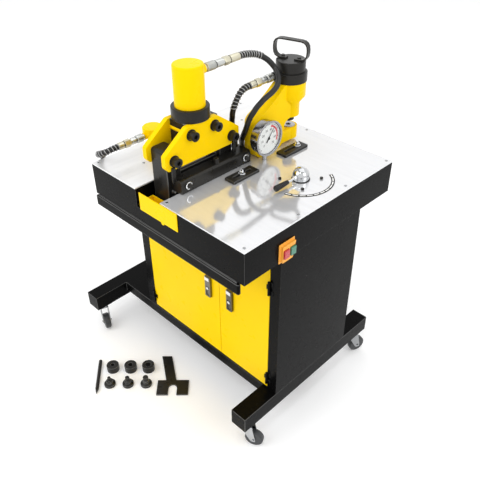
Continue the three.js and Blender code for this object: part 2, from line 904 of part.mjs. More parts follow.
// The studs, washers and nuts that hold the stop bars
function stopStuds() {
  const top = tableHeight + stopBarThickness + fitGap;
  return stopBarYs.map((y, i) => {
    const studY = y + i * stopBoltShift;
    return join(
      rodZ(stopBarX, studY, stopStudRadius, plateBottom, tableHeight + stopStudHeight, smallSides),
      rodZ(stopBarX, studY, stopWasherRadius, top, top + stopWasherThickness, smallSides),
      rodZ(stopBarX, studY, stopNutRadius, top + stopWasherThickness / 2,
        top + stopWasherThickness + stopNutThickness, hexSides),
    );
  });
}

// The valve block bolted under the plate, its port fittings, top screws and gasket
function valveBody() {
  const half = valveBlockSize / 2;
  const block = box(valveX - half, valveX + half, valveY - half, valveY + half,
    plateBottom - valveBlockHeight, plateBottom + plateThickness / 2);
  const ports = valvePortYs.map((y) => rodX(y, portZ, portFittingRadius, portX + fitGap,
    valveX - half + cutOverrun, smallSides));
  const screws = [[-1, -1], [1, -1], [1, 1], [-1, 1]].map(([sx, sy]) => rodZ(
    valveX + sx * valveScrewSpread, valveY + sy * valveScrewSpread, valveScrewRadius,
    plateBottom, tableHeight + valveScrewHeight, smallSides,
  ));
  const gasket = rodZ(valveX, valveY, gasketRadius, plateBottom, tableHeight + gasketThickness);
  return [block, ...ports, ...screws, gasket];
}

// Scrap tray: a yellow panel that closes the trench and pulls a short box out
function addTray() {
  const top = tableHeight - trayTopDrop;
  const panelFront = tableFront - trayPanelThickness;
  const panel = box(trayPanelLeft, trayPanelRight, panelFront, tableFront, trenchFloor, top);
  const tab = rodY(cutterX + trayTabShift, trenchFloor, trayTabRadius, panelFront, tableFront,
    smallSides);
  const boxLeft = trayPanelLeft + trayWall;
  const boxRight = trenchRight - slideGap - trayWall;
  const boxEnd = tableFront + trayBoxDepth;
  const shell = cut(
    box(boxLeft, boxRight, tableFront - trayWall, boxEnd, trenchFloor, trenchFloor + trayBoxHeight),
    box(boxLeft + trayWall, boxRight - trayWall, tableFront, boxEnd - trayWall, trenchFloor + trayWall,
      trenchFloor + trayBoxHeight + cutOverrun),
  );
  addPiece('scrap_tray', join(panel, tab, shell), finishes.yellowPaint());
}

// Switch: orange plate with a body, and two push buttons in its pocket
function addSwitch() {
  const half = switchWidth / 2;
  const bottom = switchHeight - switchTall / 2;
  const top = switchHeight + switchTall / 2;
  const plateFace = tableRight + switchPlateThickness;
  const bodyFace = plateFace + switchBodyThickness;
  const corners = (inset) => [
    [switchPlace - half + inset, bottom + inset],
    [switchPlace + half - inset - switchChamfer, bottom + inset],
    [switchPlace + half - inset, bottom + inset + switchChamfer],
    [switchPlace + half - inset, top - inset],
    [switchPlace - half + inset, top - inset],
  ];
  const plate = prismX(plainOutline(corners(0)), tableRight, plateFace);
  const body = prismX(plainOutline(corners(switchBodyInset)), plateFace - switchPlateThickness / 2, bodyFace);
  const pockets = [-1, 1].map((side) => {
    const y = switchPlace + side * buttonSpacing / 2;
    return box(bodyFace - buttonDepth, bodyFace + cutOverrun, y - buttonWidth / 2 - slideGap,
      y + buttonWidth / 2 + slideGap, switchHeight - buttonTall / 2 - slideGap,
      switchHeight + buttonTall / 2 + slideGap);
  });
  addPiece('switch_plate', cut(join(plate, body), ...pockets), finishes.orange());
  const button = (name, side, finish) => {
    const y = switchPlace + side * buttonSpacing / 2;
    addPiece(name, box(bodyFace - buttonDepth + buttonProud, bodyFace + buttonProud, y - buttonWidth / 2,
      y + buttonWidth / 2, switchHeight - buttonTall / 2, switchHeight + buttonTall / 2), finish);
  };
  button('button_red', -1, finishes.red());
  button('button_green', 1, finishes.green());
}

// Cutter: frame with two legs, side plates, yoke, collar, cylinder, ram and guide bar
function addCutter() {
  const coreLeft = cutterX - cutterCore / 2;
  const coreRight = cutterX + cutterCore / 2;
  const plateOuterRight = coreRight + cutterPlate;
  const plateOuterLeft = coreLeft - cutterPlate;
  const front = cutterY - cutterHalfLength;
  const back = cutterY + cutterHalfLength;
  const legTop = tableHeight + cutterLegTop;
  const baseTop = tableHeight + cutterBaseTop;
  const plateTop = tableHeight + cutterPlateTop;
  const innerFront = front + cutterLegWidth;
  const innerBack = back - cutterLegWidth;

  const boltHoles = [];
  for (const side of [-1, 1]) {
    boltHoles.push(rodX(cutterY + side * lowerBoltSpread, tableHeight + lowerBoltHeight, boltRadius + fitGap,
      plateOuterLeft - cutOverrun, plateOuterRight + cutOverrun, smallSides));
    boltHoles.push(rodX(cutterY + side * upperBoltSpread, tableHeight + upperBoltHeight, boltRadius + fitGap,
      plateOuterLeft - cutOverrun, plateOuterRight + cutOverrun, smallSides));
  }

  const frameOutline = roundedOutline([
    [front, trenchFloor], [back, trenchFloor], [back, legTop], [front, legTop],
  ], cutterLegRound);
  const window = box(coreLeft - cutOverrun, coreRight + cutOverrun, innerFront, innerBack, baseTop,
    legTop + cutOverrun);
  const shearFace = cutterX + bladeWidth / 2 + slideGap;
  const lowerBlade = box(shearFace, shearFace + lowerBladeWidth,
    innerFront - cutOverrun, innerBack + cutOverrun, baseTop - cutOverrun, tableHeight + guideBarTop);
  const sideNut = rodX(cutterY - sideNutShift, tableHeight - sideNutDrop, sideNutRadius,
    coreRight - cutOverrun, coreRight + sideNutThickness, hexSides);
  addPiece('cutter_frame', join(
    cut(prismX(frameOutline, coreLeft, coreRight), window, ...boltHoles),
    lowerBlade,
    sideNut,
  ), finishes.darkSteel());

  const yoke = box(coreLeft, coreRight, cutterY - yokeHalfLength, cutterY + yokeHalfLength,
    tableHeight + yokeBottom, plateTop);
  const collarTop = plateTop + collarHeight;
  const collar = turned(cutterX, cutterY, [
    [0, plateTop - cutOverrun], [collarRadius, plateTop - cutOverrun],
    [collarRadius, collarTop - cutterCylinderRound / 2],
    [collarRadius - cutterCylinderRound / 2, collarTop], [0, collarTop],
  ]);
  addPiece('cutter_yoke', cut(
    join(yoke, overlap(collar, box(cutterX - collarRadius, cutterX + collarRadius, cutterY - collarRadius,
      cutterY + collarRadius, plateTop, collarTop + cutOverrun))),
    rodZ(cutterX, cutterY, cutterRamRadius + slideGap, tableHeight + yokeBottom - cutOverrun,
      plateTop + cutOverrun),
    rodZ(cutterX, cutterY, cutterCylinderRadius + fitGap, plateTop, collarTop + cutOverrun, roundSides),
    ...boltHoles,
  ), finishes.darkSteel());

  const sideOutline = () => roundedOutline([
    [cutterY - cutterHalfBottom, tableHeight + cutterPlateBottom],
    [cutterY + cutterHalfBottom, tableHeight + cutterPlateBottom],
    [cutterY + cutterHalfWide, tableHeight + cutterTipBottom],
    [cutterY + cutterHalfWide, tableHeight + cutterTipTop],
    [cutterY + cutterHalfTop, plateTop],
    [cutterY - cutterHalfTop, plateTop],
    [cutterY - cutterHalfWide, tableHeight + cutterTipTop],
    [cutterY - cutterHalfWide, tableHeight + cutterTipBottom],
  ], screwHeadRadius);
  addPiece('cutter_side_plate_right', join(
    prismX(sideOutline(), coreRight, plateOuterRight),
    ...cutterBolts(plateOuterLeft, plateOuterRight),
  ), finishes.yellowPaint());
  addPiece('cutter_side_plate_left', cut(prismX(sideOutline(), plateOuterLeft, coreLeft), ...boltHoles),
    finishes.yellowPaint());

  const cylinderTop = tableHeight + cutterCylinderTop;
  const shellTop = cylinderTop - cutterCylinderWall;
  addPiece('cutter_cylinder', cut(join(
    rodY(cutterPortX, cutterPortZ, portBossRadius, cutterY, cutterPortY),
    turned(cutterX, cutterY, [
      [0, plateTop], [cutterCylinderRadius, plateTop],
      [cutterCylinderRadius, cylinderTop - cutterCylinderRound],
      [cutterCylinderRadius - cutterCylinderRound / 3, cylinderTop - cutterCylinderRound / 3],
      [cutterCylinderRadius - cutterCylinderRound, cylinderTop], [0, cylinderTop],
    ])),
    rodZ(cutterX, cutterY, cutterRamRadius + slideGap, plateTop - cutOverrun, shellTop),
  ), finishes.yellowPaint());

  const holderTop = tableHeight + yokeBottom - cutterTravelSpare;
  const holderBottom = holderTop - bladeHolderHeight;
  const holderHalf = bladeHolderWidth / 2;
  const bladeBottom = tableHeight + guideBarTop + bladeGap;
  addPiece('cutter_ram', join(
    rodZ(cutterX, cutterY, cutterRamRadius, holderTop - cutOverrun, shellTop - cutterTravelSpare),
    box(cutterX - holderHalf, cutterX + holderHalf, innerFront + fitGap + slideGap,
      innerBack - fitGap - slideGap, holderBottom, holderTop),
    prismX(plainOutline([
      [innerFront + fitGap + slideGap, bladeBottom + bladeSlope],
      [innerBack - fitGap - slideGap, bladeBottom],
      [innerBack - fitGap - slideGap, holderBottom + cutOverrun],
      [innerFront + fitGap + slideGap, holderBottom + cutOverrun],
    ]), cutterX - bladeWidth / 2, cutterX + bladeWidth / 2),
  ), finishes.darkSteel());

  addCutterBar(coreRight, plateOuterRight);
}

function addCutterBar(coreRight, plateFace) {
  const barBottom = tableHeight + guideBarLift;
  const barTop = tableHeight + guideBarTop;
  const barFace = coreRight + guideBarReach;
  const bar = prismY(plainOutline([
    [coreRight, barBottom], [barFace, barBottom], [barFace, barTop - guideBarChamfer],
    [barFace - guideBarChamfer, barTop], [coreRight, barTop],
  ]), cutterY - guideBarFrontReach, cutterY + guideBarBackReach);
  const strapOver = plateFace + fitGap + strapThickness;
  const straps = [-1, 1].map((side) => {
    const y = cutterY + side * (lowerBoltSpread + boltHeadRadius / 2);
    return box(plateFace + fitGap, strapOver, y - strapWidth / 2, y + strapWidth / 2,
      barTop - strapThickness, tableHeight + lowerBoltHeight - washerRadius - fitGap);
  });
  const studs = guideBoltShifts.flatMap((shift) => {
    const y = cutterY + shift;
    const z = tableHeight + guideBoltHeight;
    const washerFace = barFace + guideWasherThickness;
    return [
      rodX(y, z, guideWasherRadius, barFace - cutOverrun, washerFace, smallSides),
      rodX(y, z, guideBoltRadius, barFace - cutOverrun, washerFace + guideBoltHead, hexSides),
    ];
  });
  const screwX = strapOver + stopScrewRadius;
  const screwTop = barTop + stopScrewHeight;
  const stopScrewY = cutterY + stopScrewShift;
  const stopScrew = cut(
    rodZ(screwX, stopScrewY, stopScrewRadius, barTop - cutOverrun, screwTop, smallSides),
    rodZ(screwX, stopScrewY, stopScrewRadius / 2, screwTop - stopScrewHeight / 2,
      screwTop + cutOverrun, hexSides),
  );
  addPiece('cutter_guide_bar', join(bar, ...straps, ...studs, stopScrew), finishes.darkSteel());
}

// The four through bolts: head and washer on the right, shank, nut on the left
function cutterBolts(leftFace, rightFace) {
  const places = [
    [-lowerBoltSpread, lowerBoltHeight], [lowerBoltSpread, lowerBoltHeight],
    [-upperBoltSpread, upperBoltHeight], [upperBoltSpread, upperBoltHeight],
  ];
  const washerFace = rightFace + washerThickness;
  return places.map(([dy, dz]) => {
    const y = cutterY + dy;
    const z = tableHeight + dz;
    return cut(
      join(
        rodX(y, z, boltRadius, leftFace - boltHeadHeight / 2, rightFace, smallSides),
        rodX(y, z, washerRadius, rightFace - cutOverrun, washerFace),
        rodX(y, z, boltHeadRadius, rightFace - cutOverrun, washerFace + boltHeadHeight),
        rodX(y, z, boltHeadRadius, leftFace - boltHeadHeight, leftFace - fitGap, hexSides),
      ),
      rodX(y, z, boltSocketRadius, washerFace + boltHeadHeight - boltSocketDepth,
        washerFace + boltHeadHeight + cutOverrun, hexSides),
    );
  });
}

// Bender: bed with a cylinder block, upright yellow head, ram with a punch, and a notched die
function addBender() {
  const bedTop = tableHeight + benderBedThickness;
  const bedHalf = benderBedWidth / 2;
  const blockHalf = benderBlockWidth / 2;
  const ramZ = bedTop + benderRamHeight - benderBedThickness;
  const capBottom = tableHeight + benderCapBottom;
  const blockEnd = benderBedStart + benderBlockLength;
  const dieStart = benderBedEnd - benderDieLength;
  const bore = rodY(benderX, ramZ, benderRamRadius + slideGap, benderBedStart + benderRamRadius,
    blockEnd + cutOverrun, smallSides);
  const die = prismZ(plainOutline([
    [benderX - blockHalf, dieStart], [benderX - benderDieMouth / 2, dieStart],
    [benderX, dieStart + benderDieNotch], [benderX + benderDieMouth / 2, dieStart],
    [benderX + blockHalf, dieStart], [benderX + blockHalf, benderBedEnd], [benderX - blockHalf, benderBedEnd],
  ]), bedTop - benderBedThickness / 2, capBottom);
  addPiece('bender_bed', cut(join(
    die,
    box(benderX - bedHalf, benderX + bedHalf, benderBedStart, benderBedEnd, tableHeight, bedTop),
    box(benderX - blockHalf, benderX + blockHalf, benderBedStart, blockEnd, bedTop - benderBedThickness / 2,
      capBottom),
  ), bore), finishes.darkSteel());
  const capTop = tableHeight + benderCapTop;
  addPiece('bender_head', join(
    rodY(benderX, benderPortZ, benderBossRadius, benderPortY, benderCapY),
    turned(benderX, benderCapY, [
      [0, capBottom], [benderCapFoot, capBottom], [benderCapRadius, tableHeight + benderCapFace],
      [benderCapRadius, capTop - benderCapRound], [benderCapRadius - benderCapRound, capTop], [0, capTop],
    ]),
  ), finishes.yellowPaint());
  const ramEnd = benderBedStart + benderRamRadius + slideGap + benderRamReach;
  const punchHalf = benderPunchHeight / 2;
  const punchTip = ramEnd + benderPunchLength;
  const nose = prismZ(plainOutline([
    [benderX - benderPunchWidth / 2, ramEnd], [benderX + benderPunchWidth / 2, ramEnd],
    [benderX + benderPunchWidth / 2 * benderNoseShare, punchTip],
    [benderX - benderPunchWidth / 2 * benderNoseShare, punchTip],
  ]), ramZ - punchHalf, ramZ + punchHalf);
  addPiece('bender_ram', join(
    rodY(benderX, ramZ, benderRamRadius, benderBedStart + benderRamRadius + slideGap, ramEnd + cutOverrun,
      smallSides),
    nose,
  ), finishes.brightSteel());
}

// Punch: C frame with a round head, black cap, strap handle, ram and die
function addPunch() {
  const left = punchX - punchThickness / 2;
  const right = punchX + punchThickness / 2;
  const at = (z) => tableHeight + z;
  const punchFootStart = punchY - punchFootStartReach;
  const punchFootEnd = punchY - punchFootEndReach;
  const punchThroatEnd = punchY - punchThroatDepth;
  const punchBack = punchY - punchBackReach;
  const jawMiddle = (punchFootStart + punchFootEnd) / 2;
  const outline = new THREE.Shape();
  outline.moveTo(punchFootStart, at(0));
  outline.lineTo(punchFootEnd, at(0));
  outline.lineTo(punchFootEnd + punchJawBottom, at(punchJawBottom));
  outline.lineTo(punchY, at(punchJawBottom));
  outline.lineTo(punchY, at(punchJawTop));
  outline.lineTo(punchThroatEnd, at(punchJawTop));
  outline.quadraticCurveTo(punchThroatEnd, at(nozzleBottom), punchY - nozzleRadius / 2, at(nozzleBottom));
  outline.lineTo(punchY, at(nozzleBottom));
  outline.lineTo(punchY, at(headTop));
  outline.lineTo(punchY - headRadius, at(headTop));
  outline.quadraticCurveTo(jawMiddle, at(headBottom), punchFootStart, at(nozzleTop));
  outline.quadraticCurveTo(punchBack, at(nozzleTop - punchJawBottom), punchBack, at(nozzleBottom));
  outline.quadraticCurveTo(punchBack, at(punchJawBottom), punchFootStart, at(0));
  const slab = prismX(outline, left, right);
  const backEdge = prismZ(roundedOutline([
    [left, punchBack], [right, punchBack], [right, punchY], [left, punchY],
  ], punchBackRound), at(0) - cutOverrun, at(headTop) + cutOverrun);
  const head = turned(punchX, punchY, [
    [0, at(nozzleBottom)], [nozzleRadius, at(nozzleBottom)], [nozzleRadius, at(nozzleTop)],
    [headRadius, at(headBottom)], [headRadius, at(headTop)], [0, at(headTop)],
  ]);
  const bore = rodZ(punchX, punchY, punchRamRadius + slideGap, at(nozzleBottom) - cutOverrun,
    at(nozzleBottom) + punchRamGuide + punchRamRadius);
  const jaw = rodZ(punchX, punchY, punchJawRadius, at(punchJawBottom), at(punchJawTop));
  const diePocket = rodZ(punchX, punchY, dieRadius + fitGap, at(punchJawTop + dieProud - dieHeight),
    at(punchJawTop) + cutOverrun);
  const slugHole = rodZ(punchX, punchY, slugHoleRadius, at(0) - cutOverrun, at(punchJawTop), smallSides);
  addPiece('punch_frame', cut(join(overlap(slab, backEdge), head, jaw), bore, diePocket, slugHole),
    finishes.yellowPaint());

  addPiece('punch_cap', join(
    rodY(punchPortX, punchPortZ, portBossRadius, punchPortY, punchY),
    turned(punchX, punchY, [
      [0, at(headTop)], [capFlangeRadius, at(headTop)], [capFlangeRadius, at(capFlangeTop) - capRound],
      [capFlangeRadius - capRound, at(capFlangeTop)], [capRadius, at(capFlangeTop)],
      [capRadius, at(capTop) - capRound], [capRadius - capRound, at(capTop)], [0, at(capTop)],
    ]),
  ), finishes.darkSteel());
  addPiece('punch_ram', join(
    rodZ(punchX, punchY, punchRamRadius, at(punchRamBottom), at(nozzleBottom) + punchRamGuide),
    rodZ(punchX, punchY, punchTipRadius, at(punchTipBottom), at(punchRamBottom) + cutOverrun, smallSides),
  ), finishes.darkSteel());
  const dieBottom = at(punchJawTop + dieProud - dieHeight);
  addPiece('punch_die', cut(
    rodZ(punchX, punchY, dieRadius, dieBottom, dieBottom + dieHeight),
    rodZ(punchX, punchY, dieBore, dieBottom - cutOverrun, dieBottom + dieHeight + cutOverrun, smallSides),
  ), finishes.brightSteel());
  addHandle(at(capTop));
}

function addHandle(seat) {
  const ring = (inset, round) => roundedOutline([
    [-handleWidth / 2 + inset, inset], [handleWidth / 2 - inset, inset],
    [handleWidth / 2 - inset, handleHeight - inset], [-handleWidth / 2 + inset, handleHeight - inset],
  ], round);
  const half = handleDepth / 2;
  const strap = cut(
    prismY(ring(0, handleRound), -half, half),
    prismY(ring(handleStrap, handleRound - handleStrap), -half - cutOverrun, half + cutOverrun),
    box(-handleOpening / 2, handleOpening / 2, -half - cutOverrun, half + cutOverrun, -cutOverrun,
      handleStrap + cutOverrun),
  );
  const screws = [-handleScrewPlace, handleScrewPlace].map((u) => rodZ(u, 0, handleScrewRadius,
    handleStrap / 2, handleStrap + handleScrewHeight, smallSides));
  const handle = new THREE.Group();
  handle.position.set(punchX, punchY, seat);
  handle.rotation.z = THREE.MathUtils.degToRad(handleTurn);
  machine.add(handle);
  addPiece('punch_handle', join(strap, ...screws), finishes.darkSteel(), handle);
}

// Two slotted stop bars
function addStopBars() {
  const names = ['stop_bar_front', 'stop_bar_back'];
  const top = tableHeight + stopBarThickness;
  stopBarYs.forEach((y, i) => {
    const half = stopBarLength / 2;
    const slotX = stopSlotWidth / 2;
    const slotY = stopSlotLength / 2;
    const slot = roundedOutline([
      [stopBarX - slotX, y - slotY], [stopBarX + slotX, y - slotY],
      [stopBarX + slotX, y + slotY], [stopBarX - slotX, y + slotY],
    ], slotX);
    addPiece(names[i], cut(
      box(stopBarX - stopBarWidth / 2, stopBarX + stopBarWidth / 2, y - half, y + half, tableHeight, top),
      prismZ(slot, tableHeight - cutOverrun, top + cutOverrun),
    ), finishes.blackPaint());
  });
}

// Gauge: case, dial and needle; the face looks along X
function addGauge() {
  const z = tableHeight + gaugeHeight;
  const caseBack = gaugeX;
  const bezelBack = caseBack + gaugeCaseDepth;
  const bezelFace = bezelBack + bezelDepth;
  const stemX = gaugeX + gaugeStemPlace;
  const dialFace = bezelFace - dialDepth;
  const hexTop = z - gaugeCaseRadius + gaugeHexHeight / 2;
  addPiece('gauge_case', cut(
    join(
      rodX(gaugeY, z, gaugeCaseRadius, caseBack, bezelBack + bezelDepth / 2, roundSides),
      rodX(gaugeY, z, bezelRadius, bezelBack, bezelFace, roundSides),
      rodZ(stemX, gaugeY, gaugeHexRadius, hexTop - gaugeHexHeight, hexTop, hexSides),
      rodZ(stemX, gaugeY, gaugeStemRadius, plateBottom - gaugeHexHeight, hexTop, smallSides),
    ),
    rodX(gaugeY, z, bezelRadius - bezelLip, dialFace - dialThickness, bezelFace + cutOverrun, roundSides),
  ), finishes.chrome());
  addPiece('gauge_dial', rodX(gaugeY, z, dialRadius, dialFace - dialThickness, dialFace, roundSides),
    finishes.dialWhite());
  const needle = new THREE.Group();
  needle.position.set(dialFace + fitGap, gaugeY, z);
  needle.rotation.x = THREE.MathUtils.degToRad(-needleAngle);
  machine.add(needle);
  const blade = prismX(plainOutline([
    [-needleWidth / 2, -needleTail], [needleWidth / 2, -needleTail], [0, needleLength],
  ]), 0, needleThickness);
  addPiece('gauge_needle', join(blade, rodX(0, 0, needleHubRadius, 0, needleThickness * 2, smallSides)),
    finishes.darkSteel(), needle);
}

// Selector: turning dome with its spindle and lever, the grip, and the segmented scale
function addValve() {
  const seat = gasketThickness + fitGap;
  const selector = new THREE.Group();
  selector.position.set(valveX, valveY, tableHeight);
  machine.add(selector);
  const bend = [];
  for (let i = 0; i <= cornerSteps * 2; i += 1) {
    const angle = (i / (cornerSteps * 2)) * Math.PI / 2;
    bend.push([domeRadius * Math.cos(angle), domeWall + domeRadius * Math.sin(angle)]);
  }
  bend[bend.length - 1][0] = 0;
  const leverZ = leverLift;
  addPiece('selector_dome', join(
    turned(0, 0, [[0, seat], [domeRadius, seat], ...bend], middleSides),
    rodZ(0, 0, spindleRadius, -plateThickness - spindleLength + slideGap, seat + cutOverrun),
    rodY(0, leverZ, leverRadius, -gripStart - cutOverrun, 0, smallSides),
  ), finishes.chrome(), selector);
  const gripProfile = [
    [leverRadius + fitGap, -gripStart], [gripThin, -gripStart], [gripThick, -gripEnd + gripRound],
    [gripThick - gripRound, -gripEnd], [0, -gripEnd], [0, -gripStart - cutOverrun - fitGap],
    [leverRadius + fitGap, -gripStart - cutOverrun - fitGap], [leverRadius + fitGap, -gripStart],
  ].reverse();
  const grip = new THREE.LatheGeometry(gripProfile.map(([r, y]) => new THREE.Vector2(r, y)), smallSides);
  addPiece('selector_grip', toGeometry(toSolid(outward(grip.translate(0, 0, leverZ)))), finishes.rubber(),
    selector);

  const arc = new THREE.Shape();
  const from = THREE.MathUtils.degToRad(scaleStart);
  const to = THREE.MathUtils.degToRad(scaleEnd);
  arc.absarc(valveX, valveY, scaleOuter, from, to, false);
  arc.absarc(valveX, valveY, scaleInner, to, from, true);
  const ring = new THREE.ExtrudeGeometry(arc, {
    depth: scaleThickness, bevelEnabled: false, curveSegments: middleSides,
  }).translate(0, 0, tableHeight);
  addPiece('selector_scale', toGeometry(toSolid(ring)), finishes.dialWhite());
}

// Turns a lathe the right way out where its profile runs downwards
function outward(geometry) {
  const solid = geometry.clone();
  const index = solid.index.array;
  const position = solid.attributes.position;
  const [a, b, c] = [new THREE.Vector3(), new THREE.Vector3(), new THREE.Vector3()];
  let volume = 0;
  for (let i = 0; i < index.length; i += 3) {
    a.fromBufferAttribute(position, index[i]);
    b.fromBufferAttribute(position, index[i + 1]);
    c.fromBufferAttribute(position, index[i + 2]);
    volume += a.dot(b.clone().cross(c));
  }
  if (volume < 0) {
    for (let i = 0; i < index.length; i += 3) {
      const kept = index[i + 1];
      index[i + 1] = index[i + 2];
      index[i + 2] = kept;
    }
  }
  return solid;
}

// Hoses run along hand-placed points, in three stretches: from the coupler, from the hole it
// passes through, and from the valve port where it ends; each [x, y, z] is from that place
const portX = valveX - valveBlockSize / 2 - portFittingLength;
const portZ = tableHeight - valvePortDepth;
const valvePortYs = valvePortShifts.map((shift) => valveY + shift);
const cutterHoleX = cutterX + cutterHoleShift;
const cutterHoleY = cutterY + cutterHoleReach;
const punchHoleX = punchX - punchHoleShift;
const punchHoleY = punchY - punchHoleReach;
const hosePortY = cabinetFront + hosePortRoom;
const hosePortZ = apronBottom - hosePortDrop;
const cutterPortX = cutterX + cutterPortShift;
const cutterPortZ = tableHeight + cutterPortHeight;
const cutterPortY = cutterY + cutterCylinderRadius + portBossReach;
const punchPortX = punchX + punchPortShift;
const punchPortZ = tableHeight + punchPortHeight;
const punchPortY = punchY - capFlangeRadius - portBossReach;
const benderPortZ = tableHeight + benderCapTop - benderPortDrop;
const benderPortY = benderCapY - benderCapRadius - portBossReach;
const couplerReach = (name) => couplerSleeves[name] + couplerFerrules[name];
const cutterHoseY = cutterPortY + couplerReach('cutter');
const punchHoseY = punchPortY - couplerReach('punch');
const benderHoseY = benderPortY - couplerReach('bender');

const hoseRoutes = {
  cutter: [
    ...routeFrom([cutterPortX, cutterHoseY, cutterPortZ], [
      [0, 0, 0], [0, 13, 0], [0, 31, -2], [1, 48, -5], [2, 64, -9], [6, 79, -15], [11, 92, -23],
      [18, 103, -32], [28, 110, -43], [39, 113, -54], [51, 111, -64], [62, 105, -74], [71, 94, -83],
      [78, 81, -90], [82, 66, -96], [84, 51, -101], [83, 36, -107], [82, 21, -113], [80, 7, -122],
      [77, -5, -132],
    ]),
    ...routeFrom([cutterHoleX, cutterHoleY, tableHeight], [
      [69, -24, 162], [64, -31, 149], [59, -35, 134], [54, -36, 119], [48, -35, 105], [40, -33, 90],
      [32, -30, 77], [24, -26, 64], [14, -19, 51], [7, -11, 38], [2, -4, 24], [0, 0, 8], [0, 0, -8],
      [0, 0, -24], [4, 0, -49], [17, -3, -71], [37, -6, -86],
    ]),
    ...routeFrom([portX, valvePortYs[0], portZ], [
      [-104, 8, -8], [-72, 2, -5], [-34, 0, 0], [0, 0, 0],
    ]),
  ],
  punch: [
    ...routeFrom([punchPortX, punchHoseY, punchPortZ], [
      [0, 0, 0], [0, -12, 0], [0, -28, -4], [0, -42, -13], [-1, -52, -26], [-3, -59, -40],
      [-6, -62, -55], [-10, -62, -71], [-15, -58, -85],
    ]),
    ...routeFrom([punchHoleX, punchHoleY, tableHeight], [
      [44, -55, 121], [38, -49, 109], [32, -42, 97], [26, -34, 86], [20, -27, 75], [14, -19, 63],
      [9, -13, 51], [5, -7, 38], [2, -2, 23], [0, 0, 8], [0, 0, -8], [0, 0, -28], [5, 1, -54],
      [20, 2, -76], [42, 3, -90], [70, 4, -96],
    ]),
    ...routeFrom([portX, valvePortYs[1], portZ], [
      [-104, -1, -10], [-64, 0, -4], [-32, 0, 0], [0, 0, 0],
    ]),
  ],
  bender: [
    ...routeFrom([benderX, benderHoseY, benderPortZ], [
      [0, 0, 0], [0, -12, 0], [-3, -26, -2], [-12, -39, -8], [-28, -45, -17], [-45, -42, -25],
      [-60, -32, -34], [-73, -19, -46], [-83, -7, -64], [-90, 2, -88],
    ]),
    ...routeFrom([cabinetLeft, hosePortY, hosePortZ], [
      [-44, -141, 102], [-45, -130, 79], [-45, -115, 57], [-45, -97, 39], [-44, -78, 26],
      [-41, -59, 15], [-35, -40, 7], [-26, -23, 3], [-13, -8, 1], [2, 4, 0], [19, 17, 1],
      [40, 30, 4], [73, 44, 11], [128, 58, 20], [198, 70, 27],
    ]),
    ...routeFrom([portX, valvePortYs[2], portZ], [
      [-174, -26, -50], [-114, -16, -34], [-64, -6, -12], [-28, 0, -1], [0, 0, 0],
    ]),
  ],
};

function routeFrom(place, points) {
  return points.map((point) => point.map((step, axis) => place[axis] + step));
}

function curveOf(points) {
  return new THREE.CatmullRomCurve3(points.map((point) => new THREE.Vector3(...point)), false, 'centripetal');
}

function circleShape(radius, sides) {
  const points = [];
  for (let i = 0; i < sides; i += 1) {
    const angle = (i / sides) * Math.PI * 2;
    points.push([radius * Math.cos(angle), radius * Math.sin(angle)]);
  }
  return plainOutline(points);
}

function hoseSteps(curve) {
  return Math.ceil(curve.getLength() / hoseStep);
}

function sweep(curve, radius, sides, steps) {
  const tube = new THREE.ExtrudeGeometry(circleShape(radius, sides), {
    steps, bevelEnabled: false, extrudePath: curve,
  });
  return toGeometry(toSolid(tube));
}

// A spring wound round the first stretch of a hose, following the hose's own steps
class GuardCurve extends THREE.Curve {
  constructor(route, steps) {
    super();
    this.points = route.getSpacedPoints(steps);
    this.frames = route.computeFrenetFrames(steps, false);
    this.stepLength = route.getLength() / steps;
  }

  getPoint(share) {
    const reach = share * guardLength - guardRoot;
    const place = Math.max(reach, 0) / this.stepLength;
    const low = Math.floor(place);
    const mix = place - low;
    const blend = (list) => list[low].clone().lerp(list[low + 1], mix);
    const centre = blend(this.points).addScaledVector(this.frames.tangents[0], Math.min(reach, 0));
    const angle = share * guardTurns * Math.PI * 2;
    const radius = hoseRadius + guardGap + guardWire;
    return centre
      .addScaledVector(blend(this.frames.normals), radius * Math.cos(angle))
      .addScaledVector(blend(this.frames.binormals), radius * Math.sin(angle));
  }
}

// The least space between one turn of the spring and any other
function leastGap(guard) {
  const points = guard.getSpacedPoints(guardTurns * guardStepsPerTurn);
  let least = Infinity;
  points.forEach((point, i) => {
    for (let j = i + guardStepsPerTurn / 2; j < points.length; j += 1) {
      least = Math.min(least, point.distanceTo(points[j]));
    }
  });
  return least - guardWire * 2;
}

// A quick coupler along Y with a hexagon ferrule and the guard spring clamped in it
function coupler(name, x, z, wall, side, hose, steps) {
  const sleeve = couplerSleeves[name];
  const reachEnd = couplerReach(name) - fitGap * 2;
  const guard = new GuardCurve(hose, steps);
  console.log(`guard ${name}: least gap to itself ${leastGap(guard).toFixed(2)} mm`);
  const profile = [
    [0, 0], [couplerWaist, 0], [couplerWaist, couplerRingWidth], [couplerRadius, couplerRingWidth],
    [couplerRadius, sleeve - couplerRingWidth], [couplerWaist, sleeve - couplerRingWidth],
    [couplerWaist, sleeve], [brassNutRadius, sleeve], [brassNutRadius, sleeve + brassNutLength],
    [brassRadius, sleeve + brassNutLength], [brassRadius, reachEnd], [0, reachEnd],
  ].map(([radius, reach]) => new THREE.Vector2(radius, wall + side * (reach + fitGap)));
  return join(
    outward(new THREE.LatheGeometry(profile, middleSides).translate(x, 0, z)),
    sweep(guard, guardWire, guardSides, guardTurns * guardStepsPerTurn),
  );
}

function addHoses() {
  const ends = {
    cutter: [cutterPortX, cutterPortZ, cutterPortY, 1],
    punch: [punchPortX, punchPortZ, punchPortY, -1],
    bender: [benderX, benderPortZ, benderPortY, -1],
  };
  for (const [name, [x, z, wall, side]] of Object.entries(ends)) {
    const curve = curveOf(hoseRoutes[name]);
    const steps = hoseSteps(curve);
    addPiece(`coupler_${name}`, coupler(name, x, z, wall, side, curve, steps), finishes.chrome());
    addPiece(`hose_${name}`, sweep(curve, hoseRadius, hoseSides, steps), finishes.rubber());
  }
}

